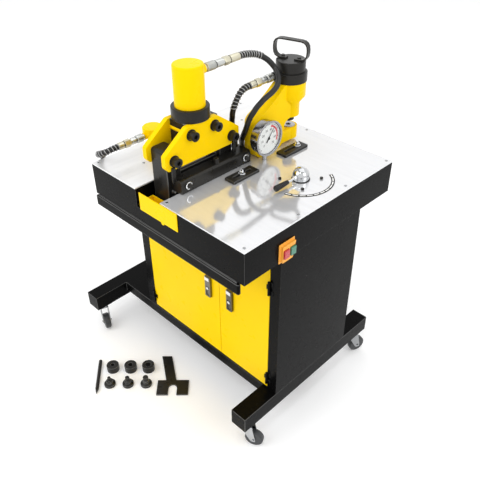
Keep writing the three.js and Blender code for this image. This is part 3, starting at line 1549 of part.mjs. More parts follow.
// Power pack: a full oil tank with its filler cap, and a pump and an upright motor on its lid
function addPowerPack() {
  const tankTop = beamTop + tankHeight;
  const tankRight = tankLeft + tankWidth;
  const tankBack = tankFront + tankDepth;
  const tank = join(
    prismZ(plainOutline([
      [tankLeft + tankBevel, tankFront], [tankRight - tankBevel, tankFront],
      [tankRight, tankFront + tankBevel], [tankRight, tankBack - tankBevel],
      [tankRight - tankBevel, tankBack], [tankLeft + tankBevel, tankBack],
      [tankLeft, tankBack - tankBevel], [tankLeft, tankFront + tankBevel],
    ]), beamTop, tankTop),
    rodZ(tankRight - fillerPlace, tankFront + fillerPlace, fillerRadius, tankTop - cutOverrun,
      tankTop + fillerHeight),
  );
  const pumpTop = tankTop + pumpHeight;
  const half = pumpSize / 2;
  const motorTop = pumpTop + motorHeight;
  const pitch = motorHeight / (motorFins * 2 + 1);
  const profile = [[0, pumpTop]];
  for (let i = 0; i <= motorFins * 2; i += 1) {
    const radius = motorRadius - (i % 2) * motorFinDepth;
    profile.push([radius, pumpTop + i * pitch], [radius, pumpTop + (i + 1) * pitch]);
  }
  profile.push([0, motorTop]);
  addPiece('power_pack', join(
    tank,
    box(motorX - half, motorX + half, motorY - half, motorY + half, tankTop - cutOverrun,
      pumpTop + cutOverrun),
    turned(motorX, motorY, profile, middleSides),
  ), finishes.greyPaint());
}

// Loose tools: three spare dies, three spare punches, a scriber and a fork spanner
function addLooseTools() {
  const turn = THREE.MathUtils.degToRad(looseAngle);
  const row = new THREE.Group();
  row.position.set(tableLeft + toolRowPlace, tableFront - toolRowReach, 0);
  row.rotation.z = turn;
  machine.add(row);
  const sizes = ['small', 'middle', 'large'];
  spareDieBores.forEach((bore, i) => {
    const x = (i - 1) * toolSpacing;
    addPiece(`spare_die_${sizes[i]}`, cut(
      rodZ(x, -spareDieDrop, spareDieRadius, 0, spareDieHeight),
      rodZ(x, -spareDieDrop, bore, -cutOverrun, spareDieHeight + cutOverrun, smallSides),
    ), finishes.darkSteel(), row);
  });
  const neckTop = spareHeadHeight + spareNeckHeight;
  const tipTop = neckTop + spareTipHeight;
  spareTipRadii.forEach((tip, i) => {
    addPiece(`spare_punch_${sizes[i]}`, turned((i - 1) * toolSpacing, -toolRowGap, [
      [0, 0], [spareHeadRadius, 0], [spareHeadRadius, spareHeadHeight],
      [spareNeckRadius, spareHeadHeight + spareNeckHeight / 2], [spareNeckRadius, neckTop],
      [tip, neckTop], [tip, tipTop], [0, tipTop],
    ], middleSides), finishes.darkSteel(), row);
  });

  const scriber = new THREE.Group();
  const scriberPlace = -toolSpacing + scriberShift + spareDieRadius;
  scriber.position.set(scriberPlace, -toolRowGap / 2 - scriberDrop, scriberRadius);
  scriber.rotation.z = THREE.MathUtils.degToRad(scriberTurn);
  row.add(scriber);
  const shaft = new THREE.LatheGeometry([
    [0, -scriberLength / 2], [scriberRadius, -scriberLength / 2],
    [scriberRadius, scriberLength / 2 - scriberPoint], [0, scriberLength / 2],
  ].map(([r, y]) => new THREE.Vector2(r, y)), smallSides).rotateZ(-Math.PI / 2);
  addPiece('scriber', toGeometry(toSolid(outward(shaft))), finishes.darkSteel(), scriber);

  const notchHalf = forkNotch / 2;
  const fork = new THREE.Shape();
  const top = forkLength / 2;
  const headLine = -top + forkHeadLength;
  const stemTop = -forkOffset - forkLean;
  fork.moveTo(stemTop - forkStem / 2, top);
  fork.lineTo(-forkOffset - forkStem / 2, headLine);
  fork.lineTo(-forkHead / 2, headLine);
  fork.lineTo(-forkHead / 2, -top);
  fork.lineTo(-notchHalf, -top);
  fork.lineTo(-notchHalf, -top + forkNotchDepth - notchHalf);
  fork.absarc(0, -top + forkNotchDepth - notchHalf, notchHalf, Math.PI, 0, true);
  fork.lineTo(notchHalf, -top);
  fork.lineTo(forkHead / 2, -top);
  fork.lineTo(forkHead / 2, headLine);
  fork.lineTo(-forkOffset + forkStem / 2, headLine);
  fork.lineTo(stemTop + forkStem / 2, top);
  const forkPlace = toolSpacing + forkShift - spareDieRadius;
  const spanner = prismZ(fork, 0, forkThick).translate(forkPlace, -toolRowGap / 2, 0);
  addPiece('fork_spanner', toGeometry(toSolid(spanner)), finishes.darkSteel(), row);
}

addBase();
addCasters();
addCabinet();
addDoors();
addApron();
addPlates();
addTray();
addSwitch();
addCutter();
addBender();
addPunch();
addStopBars();
addGauge();
addValve();
addHoses();
addPowerPack();
addLooseTools();

const extent = new THREE.Box3().setFromObject(machine, true);
const middle = extent.getCenter(new THREE.Vector3());
machine.position.set(-middle.x, -middle.y, 0);
console.log(`moved by ${-middle.x} ${-middle.y}`);

export default machine;
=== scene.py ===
"""Looks of a busbar processing machine: finishes, hoses, fittings and details on its CAD frame."""

import json
import math

import bmesh
import bpy
from mathutils import Matrix, Vector


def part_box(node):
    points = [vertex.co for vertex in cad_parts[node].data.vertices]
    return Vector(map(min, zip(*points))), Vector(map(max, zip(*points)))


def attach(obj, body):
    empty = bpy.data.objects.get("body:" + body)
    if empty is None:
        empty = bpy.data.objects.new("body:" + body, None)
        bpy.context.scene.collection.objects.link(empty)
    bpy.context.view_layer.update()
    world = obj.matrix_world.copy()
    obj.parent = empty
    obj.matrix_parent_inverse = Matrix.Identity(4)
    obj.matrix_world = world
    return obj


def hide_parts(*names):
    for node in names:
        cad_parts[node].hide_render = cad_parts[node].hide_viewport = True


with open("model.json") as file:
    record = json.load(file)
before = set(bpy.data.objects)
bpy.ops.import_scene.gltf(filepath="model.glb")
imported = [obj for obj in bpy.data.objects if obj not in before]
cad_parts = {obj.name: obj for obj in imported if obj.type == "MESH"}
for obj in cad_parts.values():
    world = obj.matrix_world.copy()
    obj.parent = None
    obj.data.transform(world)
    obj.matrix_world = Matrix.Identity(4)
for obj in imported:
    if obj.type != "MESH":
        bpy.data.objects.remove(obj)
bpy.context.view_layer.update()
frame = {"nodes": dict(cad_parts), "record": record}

record = frame["record"]
bodies = record["behaviour"]["bodies"]
body_of_node = {node: body for body, nodes in bodies.items() for node in nodes}
slot_of_node = {part["node"]: part["material_slot"] for part in record["subparts"]}

# Sizes in metres. Places are from the floor below the middle of the table, as in the part's source
TABLE_TOP = 0.818
ROUND_STEPS = 64
SHARP_ANGLE = math.radians(50)
FLAT_ANGLE = math.radians(1)
WELD_DISTANCE = 1e-5

# How far edges are rounded, from the cutter's heavy frame to thin glass
FRAME_BEVEL = 0.0030
RAIL_BEVEL = 0.0018
FINE_BEVEL = 0.0012
SMALL_BEVEL = 0.0006
CAP_BEVEL = 0.0005
BUTTON_BEVEL = 0.0004
THIN_BEVEL = 0.0003
TINY_BEVEL = 0.0002
GLASS_BEVEL = 0.0001
BEVEL_SEGMENTS = 2
BEVEL_PROFILE = 0.5

apron_low, apron_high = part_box("apron")
TABLE_MIDDLE = Vector(((apron_low.x + apron_high.x) / 2, (apron_low.y + apron_high.y) / 2, 0))


def at(x, y, z):
    """A place in the frame's coordinates from one measured from below the middle of the table."""
    return TABLE_MIDDLE + Vector((x, y, z))


# Camera, floor and light. The camera was fitted to straight edges in the photo
CAMERA_PLACE = (1.13069, -1.14193, 1.69484)
CAMERA_RIGHT = (0.71059, 0.70357, -0.00708)
CAMERA_UP = (-0.41092, 0.42316, 0.80751)
CAMERA_BACK = (0.57114, -0.57090, 0.58981)
CAMERA_LENS = 44.38
CAMERA_SENSOR = 36
FLOOR_SIZE = 60
FLOOR_CELLS = 8

# Square lamps by place, side and power. The spark draws small highlights along polished pieces
LAMPS = {
    "key": ((-0.9, -2.4, 2.9), 2.2, 34),
    "side": ((2.9, 0.5, 2.2), 1.8, 18),
    "top": ((0.3, 0.6, 3.2), 2.4, 20),
    "spark": ((0.9, -1.3, 3.2), 0.3, 7),
}
LAMP_TARGET = (0, 0, 0.6)

# The sky is white up to the first height of a direction and darker above the second one
SKY_STRENGTH = 1.1
SKY_LEVELS = [(0.72, 1.0), (0.9, 0.45)]


def add_camera():
    data = bpy.data.cameras.new("camera")
    data.lens = CAMERA_LENS
    data.sensor_width = CAMERA_SENSOR
    data.clip_end = FLOOR_SIZE
    camera = bpy.data.objects.new("camera", data)
    turn = Matrix((CAMERA_RIGHT, CAMERA_UP, CAMERA_BACK)).transposed().to_4x4()
    camera.matrix_world = Matrix.Translation(at(*CAMERA_PLACE)) @ turn
    bpy.context.collection.objects.link(camera)
    bpy.context.scene.camera = camera


def add_floor():
    shape = bmesh.new()
    bmesh.ops.create_grid(shape, x_segments=FLOOR_CELLS, y_segments=FLOOR_CELLS,
                          size=FLOOR_SIZE / 2)
    floor = new_object("studio_floor", shape, finishes["floor"])


def add_sky():
    world = bpy.data.worlds.new("studio")
    world.use_nodes = True
    nodes, links = world.node_tree.nodes, world.node_tree.links
    sky = nodes["Background"]
    sky.inputs["Strength"].default_value = SKY_STRENGTH
    direction = nodes.new("ShaderNodeTexCoord")
    parts = nodes.new("ShaderNodeSeparateXYZ")
    links.new(direction.outputs["Generated"], parts.inputs["Vector"])
    ceiling = nodes.new("ShaderNodeValToRGB")
    for element, (height, level) in zip(ceiling.color_ramp.elements, SKY_LEVELS):
        element.position = height
        element.color = (level, level, level, 1)
    links.new(parts.outputs["Z"], ceiling.inputs["Fac"])
    links.new(ceiling.outputs["Color"], sky.inputs["Color"])
    bpy.context.scene.world = world
    bpy.context.scene.view_settings.view_transform = "Standard"


def add_lamps():
    for name, (place, size, power) in LAMPS.items():
        data = bpy.data.lights.new(name, "AREA")
        data.shape = "SQUARE"
        data.size = size
        data.energy = power
        lamp = bpy.data.objects.new(name, data)
        lamp.location = place
        aim = Vector(LAMP_TARGET) - Vector(place)
        lamp.rotation_euler = aim.to_track_quat("-Z", "Y").to_euler()
        bpy.context.collection.objects.link(lamp)


# Finishes: scale and detail of the noise in a surface's tone and gloss, and what its grain is like
TONE_NOISE = (7, 3)
TONE_STOPS = (0.3, 0.7)
GLOSS_NOISE = (24, 5)
GRAIN_DETAIL = 2
GRAIN_DEPTH = 0.0003
COAT_ROUGHNESS = 0.08
GLASS_IOR = 1.05


def finish(name, colour, metallic=0.0, roughness=0.4, coat=0.0, vary=0.12, grain=900, bump=0.05,
           stretch=(1, 1, 1), spread=0.35, specular=0.5, glow=0.0):
    """A surface whose tone, gloss and grain vary a little from place to place."""
    material = bpy.data.materials.new(name)
    material.use_nodes = True
    nodes, links = material.node_tree.nodes, material.node_tree.links
    shader = nodes["Principled BSDF"]
    shader.inputs["Metallic"].default_value = metallic
    shader.inputs["Coat Weight"].default_value = coat
    shader.inputs["Coat Roughness"].default_value = COAT_ROUGHNESS
    shader.inputs["Specular IOR Level"].default_value = specular
    shader.inputs["Emission Strength"].default_value = glow
    place = nodes.new("ShaderNodeTexCoord")
    mapping = nodes.new("ShaderNodeMapping")
    mapping.inputs["Scale"].default_value = stretch
    links.new(place.outputs["Object"], mapping.inputs["Vector"])

    def noise(scale, detail):
        node = nodes.new("ShaderNodeTexNoise")
        node.inputs["Scale"].default_value = scale
        node.inputs["Detail"].default_value = detail
        links.new(mapping.outputs["Vector"], node.inputs["Vector"])
        return node

    tone = nodes.new("ShaderNodeValToRGB")
    for element, stop, share in zip(tone.color_ramp.elements, TONE_STOPS, (1 - vary, 1 + vary)):
        element.position = stop
        element.color = (*[min(1, c * share) for c in colour], 1)
    links.new(noise(*TONE_NOISE).outputs["Fac"], tone.inputs["Fac"])
    links.new(tone.outputs["Color"], shader.inputs["Base Color"])

    gloss = nodes.new("ShaderNodeMapRange")
    gloss.inputs["To Min"].default_value = roughness * (1 - spread)
    gloss.inputs["To Max"].default_value = roughness * (1 + spread)
    links.new(noise(*GLOSS_NOISE).outputs["Fac"], gloss.inputs["Value"])
    links.new(gloss.outputs["Result"], shader.inputs["Roughness"])

    relief = nodes.new("ShaderNodeBump")
    relief.inputs["Strength"].default_value = bump
    relief.inputs["Distance"].default_value = GRAIN_DEPTH
    links.new(noise(grain, GRAIN_DETAIL).outputs["Fac"], relief.inputs["Height"])
    links.new(relief.outputs["Normal"], shader.inputs["Normal"])
    return material


def clear_glass():
    """Thin clear glass with a little haze."""
    material = finish("clear_glass", (0.97, 0.98, 0.98), roughness=0.02, vary=0.01, bump=0.01)
    shader = material.node_tree.nodes["Principled BSDF"]
    shader.inputs["Transmission Weight"].default_value = 1
    shader.inputs["IOR"].default_value = GLASS_IOR
    return material


finishes = {
    "floor": finish("floor_paint", (0.93, 0.93, 0.93), roughness=0.7, vary=0.01, grain=80,
                    bump=0.02, glow=0.13),
    "black_paint": finish("black_powder_coat", (0.003, 0.003, 0.003), roughness=0.26, bump=0.03,
                          specular=0.045),
    "yellow_paint": finish("yellow_enamel", (0.90, 0.59, 0.0), roughness=0.3, vary=0.02, bump=0.05,
                           specular=0.06),
    "mirror_steel": finish("polished_sheet", (0.765, 0.77, 0.785), metallic=0.58, roughness=0.08,
                           vary=0.025, grain=500, bump=0.008, stretch=(1, 12, 12)),
    "brushed_sheet": finish("brushed_sheet", (0.80, 0.805, 0.815), metallic=0.45, roughness=0.34,
                            vary=0.03, grain=700, bump=0.02, stretch=(12, 1, 12)),
    "chrome": finish("bright_plating", (0.74, 0.75, 0.76), metallic=1.0, roughness=0.13, vary=0.05,
                     bump=0.02),
    "dark_steel": finish("blackened_steel", (0.021, 0.020, 0.018), metallic=0.4, roughness=0.3,
                         vary=0.3, grain=600, bump=0.12, specular=0.3),
    # Lighter black for the rounded edges of black paint: a painted highlight along them
    "painted_edge_highlight": finish("black_paint_painted_highlight", (0.045, 0.045, 0.043), roughness=0.2, vary=0.3,
                         specular=0.6),
    "plated": finish("dull_plating", (0.56, 0.57, 0.55), metallic=1.0, roughness=0.3, vary=0.12,
                     bump=0.08),
    "nickel": finish("dark_nickel", (0.17, 0.16, 0.135), metallic=1.0, roughness=0.34, vary=0.35,
                     grain=300, bump=0.15, spread=0.5),
    # Lighter steel for the rounded edges of blackened steel: partly wear, partly a painted
    # highlight along them
    "edge_wear_and_highlight": finish("steel_edge_wear_and_painted_highlight", (0.13, 0.13, 0.125), metallic=0.7, roughness=0.34,
                        vary=0.35, grain=600, bump=0.1),
    "zinc": finish("zinc_plating", (0.40, 0.41, 0.42), metallic=1.0, roughness=0.18, vary=0.25,
                   bump=0.05),
    "tool_steel": finish("ground_steel", (0.46, 0.46, 0.47), metallic=1.0, roughness=0.28,
                         vary=0.08, grain=700, bump=0.08, stretch=(1, 8, 1)),
    "rubber": finish("black_rubber", (0.008, 0.008, 0.008), roughness=0.3, vary=0.2, grain=1400,
                     bump=0.1, specular=0.35),
    "tread": finish("grey_tread", (0.028, 0.03, 0.032), roughness=0.4, vary=0.15, grain=900,
                    bump=0.15),
    "orange_plastic": finish("orange_plastic", (0.84, 0.36, 0.035), roughness=0.4, vary=0.04,
                             grain=1600),
    "red_plastic": finish("red_plastic", (0.46, 0.03, 0.04), roughness=0.25, coat=0.3, vary=0.05),
    "green_plastic": finish("green_plastic", (0.035, 0.19, 0.12), roughness=0.25, coat=0.3,
                            vary=0.05),
    "dial": finish("printed_white", (0.86, 0.86, 0.84), roughness=0.45, vary=0.02, grain=1500,
                   bump=0.02),
    "grey_paint": finish("grey_enamel", (0.15, 0.165, 0.175), roughness=0.4, coat=0.2, vary=0.06,
                         bump=0.1),
    "brass": finish("pale_brass", (0.62, 0.59, 0.46), metallic=1.0, roughness=0.3, vary=0.1,
                    bump=0.04),
    "bright_knob": finish("bright_knob", (0.56, 0.57, 0.58), metallic=1.0, roughness=0.07,
                          vary=0.05, bump=0.01),
    "bezel": finish("bezel_steel", (0.40, 0.40, 0.41), metallic=1.0, roughness=0.22, vary=0.08,
                    bump=0.03),
    "wire": finish("spring_wire", (0.42, 0.42, 0.42), metallic=1.0, roughness=0.3, vary=0.1,
                   bump=0.04),
    "black_ink": finish("black_ink", (0.012, 0.012, 0.012), roughness=0.5, vary=0.1),
    "red_ink": finish("red_ink", (0.72, 0.06, 0.07), roughness=0.5, vary=0.05),
    "glass": clear_glass(),
}

# The finish of rounded edges, where it differs from that of the faces. On black paint it is a
# lighter black, a painted highlight; on blackened steel it is a lighter steel, partly wear and
# partly a painted highlight
EDGE_FINISHES = {"dark_steel": "edge_wear_and_highlight", "black_paint": "painted_edge_highlight"}


# Mesh helpers
def new_object(name, shape, *materials):
    """A mesh object from a bmesh, smooth except across sharp corners."""
    bmesh.ops.recalc_face_normals(shape, faces=shape.faces)
    mesh = bpy.data.meshes.new(name)
    shape.to_mesh(mesh)
    shape.free()
    for material in materials:
        mesh.materials.append(material)
    mesh.polygons.foreach_set("use_smooth", [True] * len(mesh.polygons))
    mesh.set_sharp_from_angle(angle=SHARP_ANGLE)
    piece = bpy.data.objects.new(name, mesh)
    bpy.context.collection.objects.link(piece)
    weights = piece.modifiers.new("weights", "WEIGHTED_NORMAL")
    weights.keep_sharp = True
    return piece


def soften(shape, width, finish_index=-1):
    """Rounds the sharp edges of a bmesh, in a finish of their own if its index is given."""
    edges = [e for e in shape.edges
             if len(e.link_faces) == 2 and e.calc_face_angle(0) > SHARP_ANGLE]
    bmesh.ops.bevel(
        shape, geom=edges, offset=width, offset_type="OFFSET", segments=BEVEL_SEGMENTS,
        profile=BEVEL_PROFILE, affect="EDGES", clamp_overlap=True, material=finish_index,
    )


def round_angles(steps):
    return [2 * math.pi * i / steps for i in range(steps)]


def lathe(points, steps=ROUND_STEPS):
    """A closed bmesh turned about Z from (radius, height) points that start and end on the axis."""
    shape = bmesh.new()
    angles = round_angles(steps)
    rings = []
    for radius, height in points:
        if radius == 0:
            rings.append([shape.verts.new((0, 0, height))])
            continue
        ring = [(radius * math.cos(a), radius * math.sin(a), height) for a in angles]
        rings.append([shape.verts.new(spot) for spot in ring])
    for low, high in zip(rings, rings[1:]):
        for i in range(steps):
            j = (i + 1) % steps
            corners = [low[i % len(low)], low[j % len(low)],
                       high[j % len(high)], high[i % len(high)]]
            unique = list(dict.fromkeys(corners))
            if len(unique) > 2:
                shape.faces.new(unique)
    return shape


def raised_by(height, points):
    """(radius, height) points moved up by a height."""
    return [(radius, height + own) for radius, own in points]


def join_loops(shape, loops):
    """Faces between each closed loop of vertices and the next one."""
    for first, second in zip(loops, loops[1:]):
        for i in range(len(first)):
            j = (i + 1) % len(first)
            shape.faces.new((first[i], first[j], second[j], second[i]))


def place_along(shape, centre, axis):
    """Moves a bmesh to a centre and turns its Z towards an axis."""
    turn = Vector(axis).to_track_quat("Z", "Y").to_matrix().to_4x4()
    bmesh.ops.transform(shape, matrix=Matrix.Translation(centre) @ turn, verts=shape.verts)


def turned_piece(name, points, centre, axis, material, body="machine", steps=ROUND_STEPS,
                 bevel=SMALL_BEVEL):
    """A turned piece whose axis points along the given direction."""
    shape = lathe(points, steps)
    soften(shape, bevel)
    place_along(shape, centre, axis)
    piece = new_object(name, shape, material)
    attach(piece, body)
    return piece


def dressed(node, bevel=FINE_BEVEL, paint=(), look=None):
    """A node's own shape with rounded edges; paint is (finish, test) pairs for some faces."""
    shape = bmesh.new()
    shape.from_mesh(frame["nodes"][node].data)
    bmesh.ops.remove_doubles(shape, verts=shape.verts, dist=WELD_DISTANCE)
    bmesh.ops.dissolve_limit(shape, angle_limit=FLAT_ANGLE, verts=shape.verts, edges=shape.edges)
    slot = slot_of_node[node]
    looks = [look or slot, *[name for name, _ in paint]]
    # Rounded edges get their own finish here: a painted highlight on black paint, wear and a
    # painted highlight on blackened steel
    if slot in EDGE_FINISHES:
        soften(shape, bevel, len(looks))
        looks.append(EDGE_FINISHES[slot])
    else:
        soften(shape, bevel)
    piece = new_object(f"{node}_shown", shape, *[finishes[name] for name in looks])
    for face in piece.data.polygons:
        centre = face.center - TABLE_MIDDLE
        for index, (_, test) in enumerate(paint):
            if test(centre):
                face.material_index = index + 1
    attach(piece, body_of_node[node])
    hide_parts(node)


# Hoses: the same points as in the part's source
HOSE_RADIUS = 0.0085
HOSE_ROUTES = {
    "cutter": [
        (-0.050, 0.039, 1.124), (-0.050, 0.052, 1.124), (-0.050, 0.070, 1.122),
        (-0.049, 0.087, 1.119), (-0.048, 0.103, 1.115), (-0.044, 0.118, 1.109),
        (-0.039, 0.131, 1.101), (-0.032, 0.142, 1.092), (-0.022, 0.149, 1.081),
        (-0.011, 0.152, 1.070), (0.001, 0.150, 1.060), (0.012, 0.144, 1.050), (0.021, 0.133, 1.041),
        (0.028, 0.120, 1.034), (0.032, 0.105, 1.028), (0.034, 0.090, 1.023), (0.033, 0.075, 1.017),
        (0.032, 0.060, 1.011), (0.030, 0.046, 1.002), (0.027, 0.034, 0.992), (0.024, 0.025, 0.980),
        (0.019, 0.018, 0.967), (0.014, 0.014, 0.952), (0.009, 0.013, 0.937), (0.003, 0.014, 0.923),
        (-0.005, 0.016, 0.908), (-0.013, 0.019, 0.895), (-0.021, 0.023, 0.882),
        (-0.031, 0.030, 0.869), (-0.038, 0.038, 0.856), (-0.043, 0.045, 0.842),
        (-0.045, 0.049, 0.826), (-0.045, 0.049, 0.810), (-0.045, 0.049, 0.794),
        (-0.041, 0.049, 0.769), (-0.028, 0.046, 0.747), (-0.008, 0.043, 0.732),
        (0.020, 0.038, 0.726), (0.052, 0.032, 0.729), (0.090, 0.030, 0.734), (0.124, 0.030, 0.734),
    ],
    "punch": [
        (-0.025, 0.0585, 1.037), (-0.025, 0.0465, 1.037), (-0.025, 0.0305, 1.033),
        (-0.025, 0.0165, 1.024), (-0.026, 0.0065, 1.011), (-0.028, -0.0005, 0.997),
        (-0.031, -0.0035, 0.982), (-0.035, -0.0035, 0.966), (-0.040, 0.0005, 0.952),
        (-0.046, 0.005, 0.939), (-0.052, 0.011, 0.927), (-0.058, 0.018, 0.915),
        (-0.064, 0.026, 0.904), (-0.070, 0.033, 0.893), (-0.076, 0.041, 0.881),
        (-0.081, 0.047, 0.869), (-0.085, 0.053, 0.856), (-0.088, 0.058, 0.841),
        (-0.090, 0.060, 0.826), (-0.090, 0.060, 0.810), (-0.090, 0.060, 0.790),
        (-0.085, 0.061, 0.764), (-0.070, 0.062, 0.742), (-0.048, 0.063, 0.728),
        (-0.020, 0.064, 0.722), (0.020, 0.065, 0.724), (0.060, 0.066, 0.730), (0.092, 0.066, 0.734),
        (0.124, 0.066, 0.734),
    ],
    "bender": [
        (-0.268, -0.262, 0.870), (-0.268, -0.274, 0.870), (-0.271, -0.288, 0.868),
        (-0.280, -0.301, 0.862), (-0.296, -0.307, 0.853), (-0.313, -0.304, 0.845),
        (-0.328, -0.294, 0.836), (-0.341, -0.281, 0.824), (-0.351, -0.269, 0.806),
        (-0.358, -0.260, 0.782), (-0.362, -0.251, 0.752), (-0.363, -0.240, 0.729),
        (-0.363, -0.225, 0.707), (-0.363, -0.207, 0.689), (-0.362, -0.188, 0.676),
        (-0.359, -0.169, 0.665), (-0.353, -0.150, 0.657), (-0.344, -0.133, 0.653),
        (-0.331, -0.118, 0.651), (-0.316, -0.106, 0.650), (-0.299, -0.093, 0.651),
        (-0.278, -0.080, 0.654), (-0.245, -0.066, 0.661), (-0.190, -0.052, 0.670),
        (-0.120, -0.040, 0.677), (-0.050, -0.028, 0.684), (0.010, -0.018, 0.700),
        (0.060, -0.008, 0.722), (0.096, -0.002, 0.733), (0.124, -0.002, 0.734),
    ],
}
HOSE_DIRECTIONS = {"cutter": 1, "punch": -1, "bender": -1}
CORD_STEPS = 8
HOSE_SIDES = 8
WIRE_SIDES = 4


def smooth_line(points):
    """Points along a centripetal curve through the given ones."""
    spots = [Vector(p) for p in points]
    spots = [spots[0] * 2 - spots[1], *spots, spots[-1] * 2 - spots[-2]]
    line = []
    for a, b, c, d in zip(spots, spots[1:], spots[2:], spots[3:]):
        t0 = 0
        t1 = t0 + (b - a).length ** 0.5
        t2 = t1 + (c - b).length ** 0.5
        t3 = t2 + (d - c).length ** 0.5
        for i in range(CORD_STEPS):
            t = t1 + (t2 - t1) * i / CORD_STEPS
            ab = a.lerp(b, (t - t0) / (t1 - t0))
            bc = b.lerp(c, (t - t1) / (t2 - t1))
            cd = c.lerp(d, (t - t2) / (t3 - t2))
            abc = ab.lerp(bc, (t - t0) / (t2 - t0))
            bcd = bc.lerp(cd, (t - t1) / (t3 - t1))
            line.append(abc.lerp(bcd, (t - t1) / (t2 - t1)))
    line.append(spots[-2])
    return line


def tube(name, line, radius, material, sides=WIRE_SIDES):
    """A round tube along a line, as a curve."""
    data = bpy.data.curves.new(name, "CURVE")
    data.dimensions = "3D"
    data.bevel_depth = radius
    data.bevel_resolution = sides
    data.use_fill_caps = True
    spline = data.splines.new("POLY")
    spline.points.add(len(line) - 1)
    for point, place in zip(spline.points, line):
        point.co = (*place, 1)
    spline.use_smooth = True
    data.materials.append(material)
    piece = bpy.data.objects.new(name, data)
    bpy.context.collection.objects.link(piece)
    return piece


# Spring guard: a wire wound round the first stretch of a hose
GUARD_TURNS = 10
GUARD_LENGTH = 0.096
GUARD_WIRE = 0.0012
GUARD_GAP = 0.0002
GUARD_STEPS = 20
GUARD_ROOT = 0.003


def guard_line(line):
    """The middle of the guard's wire, which starts a little inside the coupler."""
    tangent = (line[1] - line[0]).normalized()
    side = tangent.orthogonal().normalized()
    wire = []
    count = GUARD_TURNS * GUARD_STEPS
    path = [line[0] - tangent * GUARD_ROOT, *line]
    index = 0
    walked = 0
    for i in range(count + 1):
        target = GUARD_LENGTH * i / count
        while walked + (path[index + 1] - path[index]).length < target:
            walked += (path[index + 1] - path[index]).length
            index += 1
        step = path[index + 1] - path[index]
        centre = path[index] + step * ((target - walked) / step.length)
        tangent = step.normalized()
        side = (side - tangent * side.dot(tangent)).normalized()
        angle = 2 * math.pi * GUARD_TURNS * i / count
        out = side * math.cos(angle) + tangent.cross(side) * math.sin(angle)
        wire.append(centre + out * (HOSE_RADIUS + GUARD_GAP + GUARD_WIRE))
    return wire


# Couplers: outlines of (radius, height), with heights from the place that each is named for
COUPLER_SLEEVES = {"cutter": 0.072, "punch": 0.056, "bender": 0.052}
COUPLER_FERRULES = {"cutter": 0.062, "punch": 0.046, "bender": 0.045}
FROM_WALL = [(0, 0.0006), (0.0095, 0.0006), (0.0095, 0.0055), (0.0122, 0.0065)]
KNURL_SHARE = 0.5
KNURL_PITCH = 0.0026
KNURL_START = 0.0075
KNURL_MARGIN = 0.008
KNURL_RIDGE = [(0.0130, 0), (0.0130, 0.0014), (0.0121, 0.0018), (0.0121, 0.0022)]
FROM_KNURL_END = [
    (0.0130, 0), (0.0122, 0.0012), (0.0098, 0.0018), (0.0098, 0.0065), (0.0112, 0.0075),
]
TO_SLEEVE_END = [(0.0112, -0.007), (0.0098, -0.006), (0.0098, 0), (0, 0)]
NUT_LENGTH = 0.022
NUT_SIDES = 6
NUT_START = [(0, 0.0003), (0.0118, 0.0003), (0.013, 0.002)]
NUT_END = [(0.013, -0.002), (0.0118, 0), (0, 0)]
FERRULE_START = [(0, 0.0002), (0.0105, 0.0002), (0.0105, 0.003), (0.0115, 0.004)]
FERRULE_END = [(0.0115, -0.004), (0.0105, 0), (0, 0)]
FERRULE_GAP = 0.0006
RING_WIDTH = 0.0018
INNER_RING = (0.0104, 0.0045)
OUTER_RING = (0.0111, 0.0008)


def add_coupler(name, line):
    """A quick coupler with its ringed sleeve, hexagon nut and ferrule, and the guard spring."""
    direction = HOSE_DIRECTIONS[name]
    sleeve = COUPLER_SLEEVES[name]
    ferrule = COUPLER_FERRULES[name]
    knurl = sleeve * KNURL_SHARE
    nut_end = sleeve + NUT_LENGTH
    tail = sleeve + ferrule - FERRULE_GAP
    wall = line[0] - Vector((0, direction * (sleeve + ferrule), 0))
    axis = (0, direction, 0)

    profile = [*FROM_WALL]
    for i in range(round((knurl - KNURL_MARGIN) / KNURL_PITCH)):
        profile += raised_by(KNURL_START + i * KNURL_PITCH, KNURL_RIDGE)
    profile += raised_by(knurl, FROM_KNURL_END) + raised_by(sleeve, TO_SLEEVE_END)
    body = turned_piece(f"coupler_{name}_sleeve", profile, wall, axis, finishes["plated"],
                        bevel=TINY_BEVEL)
    turned_piece(f"coupler_{name}_nut", raised_by(sleeve, NUT_START) + raised_by(nut_end, NUT_END),
                 wall, axis, finishes["brass"], steps=NUT_SIDES)
    turned_piece(f"coupler_{name}_ferrule",
                 raised_by(nut_end, FERRULE_START) + raised_by(tail, FERRULE_END),
                 wall, axis, finishes["brass"])
    rings = [("inner", INNER_RING, knurl), ("outer", OUTER_RING, nut_end)]
    for part, (radius, lift), start in rings:
        ring = [(0, 0), (radius, 0), (radius, RING_WIDTH), (0, RING_WIDTH)]
        turned_piece(f"coupler_{name}_{part}_ring", raised_by(start + lift, ring), wall, axis,
                     finishes["rubber"], bevel=THIN_BEVEL)
    spring = tube(f"coupler_{name}_guard", guard_line(line), GUARD_WIRE, finishes["wire"])
    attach(spring, "machine")
    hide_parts(f"coupler_{name}")


def add_hoses():
    for name, route in HOSE_ROUTES.items():
        line = smooth_line([at(*point) for point in route])
        hose = tube(f"hose_{name}_shown", line, HOSE_RADIUS, finishes["rubber"], sides=HOSE_SIDES)
        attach(hose, "machine")
        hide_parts(f"hose_{name}")
        add_coupler(name, line)


# Which faces of a joined piece carry another finish, told by where their middle lies
PLATE_SKIN = 0.0002
HOSE_HOLES = [(-0.045, 0.049), (-0.090, 0.060)]
HOSE_LIP_REACH = 0.0155
VALVE_PLACE = (0.196, 0.045)
GASKET_REACH = 0.029
VALVE_SCREW_REACH = 0.085
STOP_STUDS = [(0.062, -0.062), (0.062, 0.187)]
STUD_REACH = 0.012
CUTTER_BOLTS_BELOW = -0.1081
CUTTER_BOLTS_ABOVE = -0.0097
HINGES_BEFORE = -0.1833


